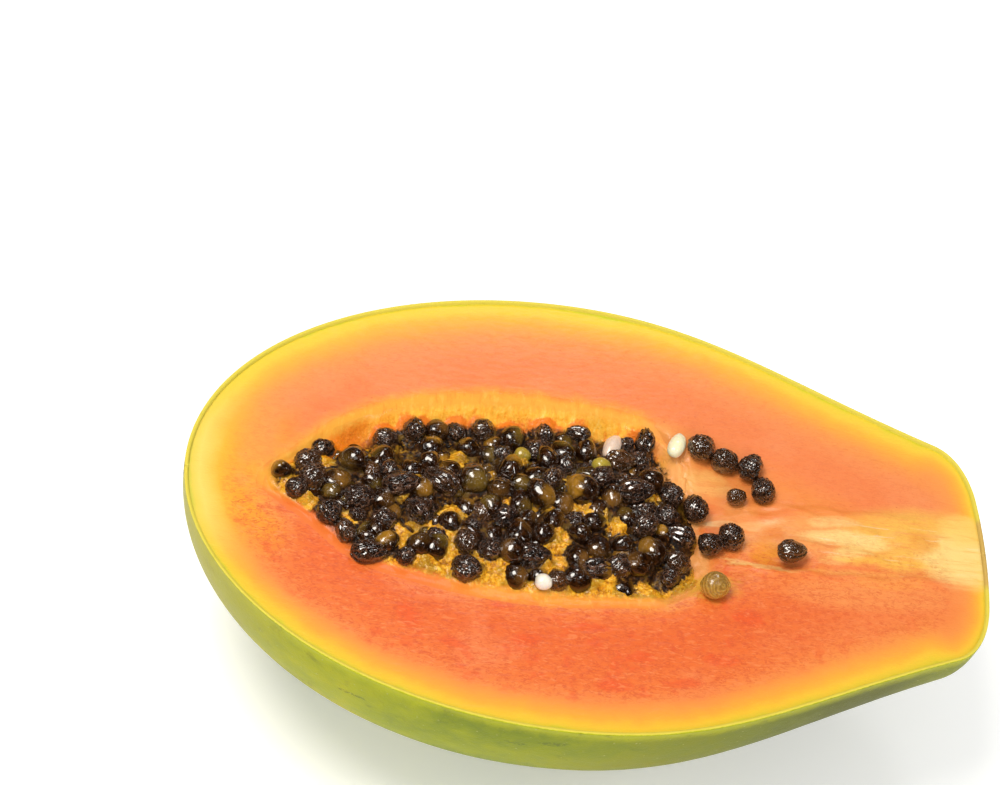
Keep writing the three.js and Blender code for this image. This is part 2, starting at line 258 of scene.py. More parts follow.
rimLine = cavityRim(40)
rimOutward = rimLine - cavity["centre"]
rimAngle = np.arctan2(rimOutward[:, 1], rimOutward[:, 0])
faceOutline = cutOutline(800, 0)


def rimTowards(x, y):
    # Distance from the cavity's middle to its rim in a point's direction, and the rim's x there
    angle = np.arctan2(y - middleY, x - middleX)
    return [np.interp(angle, rimAngle, values, period=2 * np.pi)
            for values in (np.linalg.norm(rimOutward, axis=1), rimLine[:, 0])]


def insideRim(x, y):
    # How far inside the cavity's rim each point lies; negative on the face
    return rimTowards(x, y)[0] - np.hypot(x - middleX, y - middleY)


def fallPower(rimX):
    power = mix(cavity["wallPower"], cavity["tipPower"],
                smoothStep(-cavity["tipStart"], -cavity["tipEnd"], -rimX))
    return mix(power, cavity["stemPower"], smoothStep(cavity["stemStart"], cavity["stemEnd"], rimX))


def gapTo(spots, x, y, radius=0):
    # Distance from each point to the side of the nearest round spot, worked out in slices
    flatX, flatY = np.ravel(x), np.ravel(y)
    slices = np.array_split(np.arange(flatX.size), 1 + flatX.size // 4000)
    found = [(np.hypot(flatX[part, None] - spots[:, 0], flatY[part, None] - spots[:, 1]) - radius).min(1)
             for part in slices]
    return np.concatenate(found).reshape(np.shape(x))


def fleshHeight(x, y, softness=0.0):
    # Cut face less the deeper of two hollows: the cavity, whose depth falls off as a power of the
    # share of the way to its rim, and the dish, which is part of an ellipsoid
    rimReach, rimX = rimTowards(x, y)
    share = np.clip(1 - softest(insideRim(x, y), softness) / rimReach, 0, 1)
    bowl = cavity["depth"] * (1 - share ** fallPower(rimX))
    away = np.hypot((x - dish["x"]) / dish["halfLength"], (y - dish["y"]) / dish["halfWidth"])
    hollow = dish["depth"] * np.sqrt(softest(1 - away ** 2, softness * 0.5))
    if softness:
        hollow = hollow * smoothStep(1.35, 0.72, away)
    return fruit["cutHeight"] - bowl - softest(hollow - bowl, softness * 1.5)


def fruitSkin(x, radius, angle):
    # Skin: the outline turned half a turn under the cut face, with low cosine ridges along it
    fade = smoothStep(0.2, 0.8, radius / fruit["radius"])
    ridge = fruit["ridgeHeight"] * fade * np.cos(fruit["ridgeCount"] * (angle - np.pi / 2))
    reach = radius + np.sin(angle) * ridge
    return np.stack([x + 0 * angle, reach * np.cos(angle), fruit["cutHeight"] - reach * np.sin(angle)], -1)


def putMesh(name, points, faces, facts=None):
    # Closed mesh from points in millimetres; its faces are turned outwards by the sign of its volume
    a, b, c = (points[faces[:, k]] for k in range(3))
    if np.einsum("ij,ij->", a, np.cross(b, c)) < 0:
        faces = faces[:, ::-1]
    mesh = bpy.data.meshes.new(name)
    mesh.vertices.add(len(points))
    mesh.vertices.foreach_set("co", (points * mm).astype(np.float32).ravel())
    sides = faces.shape[1]
    mesh.loops.add(faces.size)
    mesh.loops.foreach_set("vertex_index", faces.astype(np.int32).ravel())
    mesh.polygons.add(len(faces))
    mesh.polygons.foreach_set("loop_start", (np.arange(len(faces)) * sides).astype(np.int32))
    mesh.update(calc_edges=True)
    mesh.polygons.foreach_set("use_smooth", np.ones(len(faces), bool))
    for fact, values in (facts or {}).items():
        layer = mesh.attributes.new(fact, "FLOAT", "POINT")
        layer.data.foreach_set("value", np.ravel(values).astype(np.float32))
    mesh.validate()
    piece = bpy.data.objects.new(name, mesh)
    bpy.context.scene.collection.objects.link(piece)
    return piece


def ringFaces(rings, around):
    # Triangles between neighbouring rings of points, each ring closed on itself
    ring, spot = np.meshgrid(np.arange(rings - 1), np.arange(around), indexing="ij")
    a, b = ring * around + spot, ring * around + (spot + 1) % around
    c, d = b + around, a + around
    return np.concatenate([np.stack([a, b, c], -1), np.stack([a, c, d], -1)]).reshape(-1, 3)


def skinWithPoles(points, facts=None):
    # Grid of rings closed at both ends with one point each: the mean of the first and the last ring
    rings, around = points.shape[:2]
    ends = np.stack([points[0].mean(0), points[-1].mean(0)])
    spot = np.arange(around)
    beside = (spot + 1) % around
    last = (rings - 1) * around
    pole = np.full(around, rings * around)
    fans = [np.stack([beside, spot, pole], -1), np.stack([last + spot, last + beside, pole + 1], -1)]
    faces = np.concatenate([ringFaces(rings, around), *fans])
    everyPoint = np.concatenate([points.reshape(-1, 3), ends])
    everyFact = {name: np.concatenate([np.ravel(values), [values[0].mean(), values[-1].mean()]])
                 for name, values in (facts or {}).items()}
    return everyPoint, faces, everyFact


# Shader maths

def paint(colour, dim=1.0):
    # Display colour from 0 to 255 as the linear colour that the shaders use
    display = np.array(colour) / 255
    linear = np.where(display < 0.04045, display / 12.92, ((display + 0.055) / 1.055) ** 2.4)
    return (*(linear * dim).tolist(), 1.0)


class Wire:
    # One output socket; an expression on values adds its Math nodes
    def __init__(self, finish, socket):
        self.finish = finish
        self.socket = socket

    def math(self, operation, first, second):
        return self.finish.node("Math", {"operation": operation}, {0: first, 1: second})

    def __add__(self, other):
        return self.math("ADD", self, other)

    def __radd__(self, other):
        return self.math("ADD", other, self)

    def __sub__(self, other):
        return self.math("SUBTRACT", self, other)

    def __rsub__(self, other):
        return self.math("SUBTRACT", other, self)

    def __mul__(self, other):
        return self.math("MULTIPLY", self, other)

    def __rmul__(self, other):
        return self.math("MULTIPLY", other, self)

    def __truediv__(self, other):
        return self.math("DIVIDE", self, other)

    def __abs__(self):
        return self.finish.node("Math", {"operation": "ABSOLUTE"}, {0: self})

    def sway(self, width):
        # A noise from 0 to 1 as a swing of this width about 0
        return (self - 0.5) * width

    def step(self, low, high, floor=0.0, ceiling=1.0):
        # Smooth step from floor to ceiling; low may be the larger one
        if low > high:
            low, high, floor, ceiling = high, low, ceiling, floor
        return self.finish.node("MapRange", {"interpolation_type": "SMOOTHSTEP"},
                                {0: self, 1: low, 2: high, 3: floor, 4: ceiling})


class Finish:
    # A material and the few nodes that its finishes are made of
    def __init__(self, name, dim=1.0):
        self.dim = dim
        self.material = bpy.data.materials.new(name)
        self.material.use_nodes = True
        self.tree = self.material.node_tree
        self.tree.nodes.clear()
        self.place = self.stretch(self.node("TexCoord", output="Object"), (1 / mm,) * 3)
        parts = self.tree.nodes.new("ShaderNodeSeparateXYZ")
        self.tree.links.new(self.place.socket, parts.inputs[0])
        self.x, self.y, self.z = (Wire(self, parts.outputs[k]) for k in range(3))

    def node(self, kind, settings=None, values=None, output=0):
        made = self.tree.nodes.new("ShaderNode" + kind)
        for name, value in (settings or {}).items():
            if name == "stops":
                self.setStops(made.color_ramp, value)
            else:
                setattr(made, name, value)
        for name, value in (values or {}).items():
            if isinstance(value, Wire):
                self.tree.links.new(value.socket, made.inputs[name])
            else:
                made.inputs[name].default_value = value
        return None if output is None else Wire(self, made.outputs[output])

    def setStops(self, ramp, stops):
        ramp.interpolation = "LINEAR"
        for spot, colour in stops[2:]:
            ramp.elements.new(spot)
        for element, (spot, colour) in zip(ramp.elements, sorted(stops)):
            element.position = spot
            element.color = paint(colour, self.dim)

    def ramp(self, value, low, high, stops):
        # Colours along a value; each stop's place is given in the value's own unit
        spread = [((spot - low) / (high - low), colour) for spot, colour in stops]
        return self.node("ValToRGB", {"stops": spread}, {0: (value - low) / (high - low)})

    def stretch(self, vector, factors):
        return self.node("VectorMath", {"operation": "MULTIPLY"}, {0: vector, 1: factors})

    def away(self, vector, point):
        return self.node("VectorMath", {"operation": "DISTANCE"}, {0: vector, 1: point}, "Value")

    def fact(self, name):
        return self.node("Attribute", {"attribute_name": name}, output="Fac")

    def spread(self, scale, shift=0.0):
        # Where and how finely a texture is laid: one scale, or one for each direction
        vector = self.place
        if shift:
            vector = self.node("VectorMath", {"operation": "ADD"}, {0: vector, 1: (shift, shift, 0.0)})
        if isinstance(scale, tuple):
            vector, scale = self.stretch(vector, scale), 1.0
        return {"Vector": vector, "Scale": scale}

    def noise(self, scale, detail, roughness, distortion=0.0, shift=0.0):
        values = {"Detail": detail, "Roughness": roughness, "Distortion": distortion}
        return self.node("TexNoise", None, {**self.spread(scale, shift), **values})

    def cells(self, scale, feature="F1"):
        return self.node("TexVoronoi", {"feature": feature}, self.spread(scale))

    def blob(self, x, y, spot):
        # Soft oval mark: 1 in its middle and 0 outside, by the distance in its own turned axes
        middleX, middleY, halfLength, halfWidth, turn = spot
        cosine, sine = np.cos(np.radians(turn)), np.sin(np.radians(turn))
        along = ((x - middleX) * cosine + (y - middleY) * sine) / halfLength
        across = ((y - middleY) * cosine - (x - middleX) * sine) / halfWidth
        return (along * along + across * across).step(1.3, 0.15)

    def blend(self, first, second, share):
        first, second = (paint(c, self.dim) if isinstance(c, tuple) else c for c in (first, second))
        return self.node("Mix", {"data_type": "RGBA"}, {0: share, 6: first, 7: second}, 2)

    def layers(self, colour, tones):
        # Tones laid over a colour one after the other, each by its share
        for tone, share in tones:
            colour = self.blend(colour, tone, share)
        return colour

    def bump(self, height, distance, strength):
        return self.node("Bump", None, {"Height": height, "Distance": distance, "Strength": strength})

    def shade(self, colour, values):
        # Closes the material with one Principled shader
        values = {"Base Color": colour, "Subsurface Scale": mm, **values}
        self.node("OutputMaterial", None, {"Surface": self.node("BsdfPrincipled", None, values)}, None)
        return self.material


fleshDim = 0.73  # share of their display colours that the flesh and the pulp at its rim get
fleshScatter = (1.0, 0.5, 0.3)  # how far red, green and blue light run in it, in millimetres


def rimShare(look, pit):
    # How golden the flesh is at a distance outside the cavity's rim
    patch = look.noise(0.22, 4, 0.6)
    return (pit + patch.sway(4) + look.y.step(4, -8) * 0.5 + 1.2).step(5.0, 1.2)


def rimGold(look):
    # Golden flesh round the cavity's rim, the same on the flesh and on the pulp that runs into it
    patch = look.noise(0.22, 4, 0.6)
    strings = look.noise((0.8, 0.3, 0.3), 4, 0.6, 0.3)
    tip = (look.x + patch.sway(8)).step(-20, -36) * look.y.step(-1.5, -6)
    return look.layers((251, 173, 56), [
        # deeper orange on the near side; the far side is kept paler as a painted sheen
        ((250, 158, 50), look.y.step(5, -9)),
        ((254, 198, 86), strings.step(0.53, 0.68) * 0.45),
        ((244, 144, 40), strings.step(0.46, 0.34) * 0.5),
        ((248, 120, 48), tip * 0.9),
        ((251, 164, 84), (look.x + patch.sway(6)).step(9, 17)),
    ])


def finished(piece, material, node):
    piece.data.materials.append(material)
    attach(piece, "root")
    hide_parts(node)
    print(piece.name, len(piece.data.polygons), "faces")


# Flesh

fleshShape = {
    "columns": 540,
    "hiddenRows": 10,  # rings of the cavity floor under the seeds
    "hiddenShare": 0.72,
    "wallRows": 42,
    "faceRows": 108,
    "rowSpread": 1.12,  # above 1 its rings lie closer together at the rim
    "edgeRows": 5,
    "bellyRows": 12,
    "inset": 0.34,  # the flesh's outer edge lies this far inside the skin's outside
    "edgeRadius": 0.12,
    "fadeWidth": 1.5,  # the relief fades out this wide along the outer edge
    "bellyDepth": 0.6,  # the hidden underside lies this far inside the skin
    "waves": 0.05,  # knife waves of the cut
    "grain": 0.07,
    "coreGrain": 0.13,
    "wallFolds": 0.5,
    "wallStrands": 0.25,
}
# The dent that the lone seed on the core strip lies in
nest = {"x": 38, "y": -5.4, "halfLength": 6, "halfWidth": 3.8, "depth": 1.2, "lip": 0.2}


def fibreRelief(x, y):
    # Low rounded ridges that follow the fibres of the core strip, each with a bow and a tapered end
    total = np.zeros(np.shape(x))
    for fibre in fibres:
        (startX, startY), (endX, endY) = fibre["start"], fibre["end"]
        along = np.clip((x - startX) / (endX - startX), 0, 1)
        middle = mix(startY, endY, along) + fibre["bow"] * np.sin(np.pi * along)
        middle = middle + 0.35 * np.sin(x * 0.55 + startY)
        taper = np.sin(np.pi * along) ** 0.35
        total = total + fibre["height"] * taper * np.exp(-((y - middle) / (fibre["width"] * 0.45)) ** 2)
    return total


def fleshRelief(x, y, height):
    # What the knife and the fibres leave on the flesh, on top of its main hollows
    inside = insideRim(x, y)
    flat = np.stack([x, y, 0 * x], -1)
    ringed = np.stack([x, y, height * 0.22], -1)
    knife = fleshShape["waves"] * swing(flat * [0.05, 0.16, 1], 3)
    grain = fleshShape["grain"] * swing(flat * [0.55, 1.5, 1], 7)
    folds = fleshShape["wallFolds"] * swing(ringed * [0.55, 0.3, 1], 11)
    strands = fleshShape["wallStrands"] * (np.abs(swing(ringed * [1.3, 0.7, 1], 17)) * 2 - 1)
    core = smoothStep(10, 6, np.abs(y)) * smoothStep(30, 40, x)
    stringy = fleshShape["coreGrain"] * core * swing(flat * [0.22, 1.7, 1], 23)
    away = np.hypot(x - budScar["x"], y - budScar["y"]) / budScar["radius"]
    bud = budScar["height"] * 0.6 * smoothStep(1.25, 0.6, away)
    dent = np.hypot((x - nest["x"]) / nest["halfLength"], (y - nest["y"]) / nest["halfWidth"])
    hole = nest["lip"] * np.exp(-((dent - 1.15) / 0.25) ** 2) - nest["depth"] * smoothStep(1.15, 0.15, dent)
    return (smoothStep(0.5, -1.0, inside) * (knife + grain + stringy + bud + fibreRelief(x, y) + hole)
            + smoothStep(-0.6, 1.2, inside) * (folds + strands))


def makeFlesh():
    # Rings about the cavity's middle: down the wall, out over the cut face, round the edge and
    # back along the inside of the skin to the middle of the belly
    s = fleshShape
    edge = cutOutline(s["columns"], s["inset"])
    toEdge = edge - cavity["centre"]
    angle = np.arctan2(toEdge[:, 1], toEdge[:, 0])
    edgeReach = np.linalg.norm(toEdge, axis=1)
    rimReach, _ = rimTowards(edge[:, 0], edge[:, 1])
    hidden = np.linspace(0.04, s["hiddenShare"], s["hiddenRows"], endpoint=False)
    wall = np.linspace(s["hiddenShare"], 1, s["wallRows"], endpoint=False)
    inner = np.concatenate([hidden, wall])[:, None] * rimReach
    outward = np.linspace(0, 1, s["faceRows"]) ** s["rowSpread"]
    outer = mix(rimReach, edgeReach - s["edgeRadius"], outward[:, None])
    reach = np.vstack([inner, outer])
    x, y = middleX + np.cos(angle) * reach, middleY + np.sin(angle) * reach
    height = fleshHeight(x, y, cavity["rimSoftness"])
    height = height + fleshRelief(x, y, height) * smoothStep(0, s["fadeWidth"], edgeReach - reach)
    top = np.stack([x, y, height], -1)
    bend = np.linspace(0, np.pi / 2, s["edgeRows"] + 1)[1:]
    out = edgeReach - s["edgeRadius"] * (1 - np.sin(bend))[:, None]
    edgeZ = top[-1, :, 2] - s["edgeRadius"] * (1 - np.cos(bend))[:, None]
    rounded = np.stack([middleX + np.cos(angle) * out, middleY + np.sin(angle) * out, edgeZ + 0 * out], -1)
    half = shifted(fruitOutline(1200), s["inset"])
    shrink = np.cos(np.linspace(0, np.pi / 2, s["bellyRows"] + 1)[1:-1])[:, None]
    bellyX = mix(fruit["widestX"], edge[:, 0], shrink)
    bellyY = edge[:, 1] * shrink
    radius = np.interp(bellyX, half[:, 0], half[:, 1])
    bellyReach = np.sqrt(np.maximum((radius - s["bellyDepth"]) ** 2 - bellyY ** 2, 0))
    bellyZ = np.clip(fruit["cutHeight"] - 0.5 - bellyReach, 0.4, edgeZ[-1] - 0.2)
    belly = np.stack([bellyX, bellyY, bellyZ], -1)
    points = np.concatenate([top, rounded, belly])
    rind, pit = (gapTo(line, points[..., 0], points[..., 1]) for line in (faceOutline, rimLine))
    pit[:len(inner)] *= -1
    return putMesh("papayaFlesh", *skinWithPoles(points, {"rind": rind, "pit": pit}))


# Marks of the core strip: middle, half length, half width and turn, then colour and strength
coreMarks = [
    ((46, 0.5, 20, 5.2, 4), (252, 173, 92), 0.75),
    ((66, 1.5, 17, 8.6, 4), (250, 193, 80), 0.95),
    ((75, -1.5, 10, 7.4, 0), (253, 221, 134), 0.95),
    ((76, 5.5, 6, 4.2, 0), (253, 211, 108), 0.8),
    ((50, 0.6, 8.5, 1.9, 3), (255, 221, 138), 0.9),
    ((52, -3.0, 7, 2.0, 24), (254, 215, 128), 0.8),
    ((49, 4.0, 6, 1.4, 6), (254, 203, 122), 0.8),
    ((58, -4.4, 12, 1.2, 3), (252, 195, 74), 0.7),
    ((67, 1.4, 3.6, 3.1, 0), (247, 169, 64), 0.75),
    ((34, 2.4, 5.5, 1.5, 8), (255, 189, 116), 0.8),
    ((25.5, 2.2, 4.2, 0.8, 10), (255, 211, 146), 0.8),
    # deep orange streaks in the dish, darkened as painted shade between the fibres
    ((24, 5.6, 6, 1.5, -4), (240, 109, 30), 0.7),
    ((26, 0.3, 6, 1.3, 3), (240, 109, 30), 0.7),
    ((37, 4.6, 6, 1.1, 10), (244, 125, 44), 0.5),
    ((35, -4.2, 3.4, 3.0, 0), (254, 163, 40), 0.85),
    ((23.5, 11.5, 7, 3.2, -8), (254, 187, 100), 0.8),
    # pale line along the fibre ridge at the strip's near edge, in two marks: a painted highlight
    ((33, -7.6, 9, 0.9, -9), (255, 201, 120), 0.9),
    ((52, -7.6, 12, 0.8, 3), (253, 177, 84), 0.6),
    ((55, -12, 20, 4.5, 4), (252, 157, 80), 0.75),
    ((22.5, -13.5, 5, 3, 30), (246, 185, 54), 0.8),
    ((24.0, -14.6, 5, 3.6, 20), (216, 160, 52), 0.6),
    ((29, 3, 5, 7, 0), (253, 173, 92), 0.35),
    ((57, 0.2, 4.5, 2, 0), (255, 223, 138), 0.8),
    ((37, 0.6, 3, 2.4, 0), (246, 135, 50), 0.6),
    ((60, -8.6, 8, 2.4, 4), (253, 165, 70), 0.6),
]
# Small deep red patches on the near side: middle, half length, half width and turn
deepMarks = [
    (-14.2, -30.8, 3.2, 1.7, 5), (3.1, -38.9, 4.4, 1.5, 4), (16.3, -36.7, 3.6, 1.3, 8),
    (30, -20.6, 3.4, 2.2, -10), (-36.5, -28, 2.6, 3.4, 30), (7.8, -32, 3.0, 1.4, 0),
    (-19, -23, 4.2, 1.2, -6), (-2, -26.5, 3.6, 1.2, 0), (24, -31, 4.0, 1.4, 6), (-28, -33, 3.4, 1.3, -12),
]


def fleshFinish():
    look = Finish("papayaFlesh", fleshDim)
    x, y = look.x, look.y
    rind, pit = look.fact("rind"), look.fact("pit")
    cloud = look.noise(0.055, 3, 0.55)
    patch = look.noise(0.22, 4, 0.6)
    strands = look.noise((0.38, 1.9, 1.2), 4, 0.62, 0.7)
    fine = look.noise((1.1, 3.4, 3.4), 3, 0.6, 0.4)
    depth = rind * (1 + x.step(66, 78) * 0.9) + cloud.sway(2.6) + patch.sway(1.4)
    # flesh colours inwards from the rind; the far side's paler ramp is a painted sheen, and the near side
    # is redder
    far = look.ramp(depth, 0, 32, [
        (0.4, (206, 210, 44)), (1.3, (240, 210, 54)), (2.8, (250, 206, 58)), (4.4, (252, 186, 56)),
        (6.4, (253, 171, 62)), (9, (252, 157, 74)), (12, (250, 147, 80)), (16, (247, 136, 74)),
        (21, (248, 137, 74)), (26, (248, 144, 64))])
    near = look.ramp(depth, 0, 32, [
        (0.4, (200, 204, 36)), (1.2, (236, 202, 38)), (2.4, (250, 194, 40)), (4, (252, 172, 46)),
        (6, (250, 154, 58)), (8, (247, 138, 62)), (10.5, (244, 122, 48)), (15, (241, 113, 42)),
        (21, (239, 106, 36)), (25, (243, 118, 46)), (30, (246, 134, 56))])
    blossom = look.ramp(depth, 0, 20, [
        (0.4, (206, 206, 58)), (1.4, (240, 211, 80)), (3, (251, 217, 102)), (5, (252, 204, 82)),
        (7, (250, 184, 44)), (10, (252, 172, 28)), (18, (252, 163, 26))])
    side = (y + cloud.sway(10)).step(5, -9) * (x + cloud.sway(20)).step(58, 22, 0.5, 1.0)
    tip = (x + cloud.sway(8)).step(-54, -66) * abs(y + cloud.sway(6)).step(24, 6)
    # inside the cavity the wall is golden, with pale strings and orange hollows, and darker orange deep
    # down as painted shade
    streak = look.noise((0.62, 0.5, 0.09), 4, 0.55, 0.6)
    wall = look.ramp(streak, 0.25, 0.75, [
        (0.30, (240, 144, 40)), (0.42, (248, 170, 52)), (0.52, (251, 188, 66)), (0.62, (253, 202, 84)),
        (0.72, (255, 222, 140))])
    wall = look.layers(wall, [
        ((206, 98, 22), (look.z + patch.sway(5)).step(46.5, 41.5) * 0.8),
        ((251, 168, 92), (x + patch.sway(6)).step(8, 15)),
    ])
    # paler and redder clouds, the deep red patches, the rim and the wall, and the core strip's marks
    wanderX, wanderY = x + patch.sway(7), y + fine.sway(3)
    comb = look.noise((0.1, 1.1, 1), 5, 0.6, 0.6)
    combed = comb.step(0.30, 0.52, 0.55, 1.0)
    bentX, bentY = x + patch.sway(9), y + patch.sway(2.2) + comb.sway(1.6)
    onStrip = look.blob(bentX, bentY, (60, 0, 26, 8, 2))
    tones = [
        (near, side),
        (blossom, tip),
        ((252, 156, 96), cloud.step(0.5, 0.66) * rind.step(6, 12) * 0.35),
        ((240, 84, 30), patch.step(0.55, 0.66) * rind.step(6, 9) * side * 0.45),
        *[((242, 76, 18), look.blob(wanderX, wanderY, spot) * 0.5) for spot in deepMarks],
        (rimGold(look), rimShare(look, pit) * x.step(27, 18)),
        (wall, (pit + patch.sway(1.6)).step(-0.4, -1.6)),
        *[(tone, look.blob(bentX, bentY, spot) * strength * combed) for spot, tone, strength in coreMarks],
        ((255, 240, 200), comb.step(0.58, 0.7) * onStrip * 0.4),
        ((246, 170, 84), comb.step(0.42, 0.30) * onStrip * 0.5),
    ]
    # soft fibres, short curled wisps, more of them on the near side, and small flecks
    onFace = pit.step(-0.4, 1.0) * rind.step(6, 10)
    tones += [((234, 98, 42), strands.step(0.66, 0.34) * onFace * (side * 0.5 + 0.25) * 0.3)]
    for shift, strength in ((0.0, 0.58), (37.0, 0.5)):
        wave = look.noise((0.42, 1.25, 1.0), 2, 0.5, 1.3, shift)
        broken = look.noise(0.7, 2, 0.5, shift=shift).step(0.42, 0.56)
        wisp = abs(wave - 0.5).step(0.06, 0.01) * broken * onFace * (side * 0.75 + 0.25)
        lift = wave.step(0.58, 0.72) * onFace * (side * 0.7 + 0.3)
        tones += [((216, 84, 36), wisp * strength), ((255, 156, 92), lift * 0.34)]
    fleck = look.cells((0.42, 0.5, 0.5)).step(0.13, 0.05) * fine.step(0.5, 0.6) * rind.step(8, 11) * onFace
    return look.shade(look.layers(far, [*tones, ((214, 96, 48), fleck * 0.6)]), {
        "Roughness": 0.30 + 0.22 * fine,
        "Normal": look.bump(strands * 0.6 + fine * 0.4, 0.00022, 0.55),
        "IOR": 1.4,
        "Subsurface Weight": 0.08,
        "Subsurface Radius": fleshScatter,
        "Coat Weight": 0.12,
        "Coat Roughness": 0.22,
    })


finished(makeFlesh(), fleshFinish(), "papaya_half")

# Skin

skinShape = {
    "rows": 340,
    "columns": 104,
    "lipColumns": 7,
    "innerColumns": 14,
    "thickness": 0.75,
    "lipRadius": 0.34,
    "inset": 0.07,  # keeps the finest relief inside the solid's size
    "dents": 0.14,
    "restHeight": 0.05,  # the belly is flattened at this height, and a little above it
    "restSoftness": 0.5,
    "restLower": 0.3,
    "innerDrop": 0.12,  # the inside ends this far under the cut
    "stemStart": 70,
    "scarRadius": 7.5,  # where the stalk was
    "scarEdge": 1.6,
    "scarDepth": 0.3,
}
# Scratches on the near side, seen from the side: middle, half length, half width and turn
scratches = [(-8, 44.2, 3.4, 0.9, 6), (-15, 42.4, 2.2, 0.6, -4), (-46, 41, 2.6, 0.5, 12)]


def makeSkin():
    # Closed thin shell: at each station of the outline a C-shaped loop, made of the outside,
    # a rounded lip, the inside and the other lip
    s, lip = skinShape, skinShape["lipRadius"]
    outline = fruitOutline(s["rows"])
    outer = shifted(outline, s["inset"])
    inner = shifted(outline, s["inset"] + s["thickness"])
    plain = fruitSkin(outer[:, :1], outer[:, 1:], np.linspace(0, np.pi, s["columns"])[None, :])
    dent = roughNoise(plain * 0.045, 31) * 0.6 + roughNoise(plain * 0.3, 37) * 0.4
    below = fruit["cutHeight"] - plain[..., 2:]
    inward = np.concatenate([0 * below, -plain[..., 1:2], below], -1)
    inward = inward / np.maximum(np.linalg.norm(inward, axis=-1, keepdims=True), 1e-6)
    loop = plain + inward * (dent * s["dents"])[..., None]
    # the stalk's scar is pushed in, less so near the cut
    away = np.hypot(loop[..., 1], fruit["cutHeight"] - loop[..., 2])
    stalk = smoothStep(s["scarRadius"], s["scarRadius"] - s["scarEdge"], away)
    stalk = stalk * smoothStep(0.2, s["scarEdge"], below[..., 0]) * (loop[..., 0] > s["stemStart"])
    loop[..., 0] -= s["scarDepth"] * stalk * (0.7 + 0.3 * roughNoise(plain * 0.9, 41))
    # the outside starts below the lip; every column is pushed down where it would stand above it
    loop[..., 2] -= smoothStep(lip * 5, 0, fruit["cutHeight"] - loop[..., 2]) * lip
    bend = np.linspace(0, np.pi / 2, s["lipColumns"])
    lipY = np.maximum(outer[:, 1:] - lip, 0) + lip * np.cos(bend)
    lipZ = fruit["cutHeight"] - lip + lip * np.sin(bend) + 0 * lipY
    right = np.stack([outer[:, :1] + 0 * lipY, lipY, lipZ], -1)[:, 1:]
    left = (right * [1, -1, 1])[:, ::-1]
    innerAngle = np.linspace(0, np.pi, s["innerColumns"])
    inside = fruitSkin(inner[:, :1], inner[:, 1:], innerAngle[None, :])[:, ::-1]
    inside[..., 2] = np.minimum(inside[..., 2], fruit["cutHeight"] - s["innerDrop"])
    points = np.concatenate([right[:, ::-1], loop, left[:, ::-1], inside], 1)
    # the belly is flattened where it rests
    lowered = points[..., 2] - s["restHeight"] - s["restLower"] * smoothStep(9, 2, points[..., 2])
    points[..., 2] = softest(lowered, s["restSoftness"]) + s["restHeight"]
    fade = np.linspace(1, 0.15, s["lipColumns"] - 1)
    lipShare = np.concatenate([fade, np.zeros(s["columns"]), fade[::-1], np.ones(s["innerColumns"])])
    lipShare = np.broadcast_to(lipShare, points.shape[:2])
    return putMesh("papayaSkin", *skinWithPoles(points, {"lip": lipShare}))


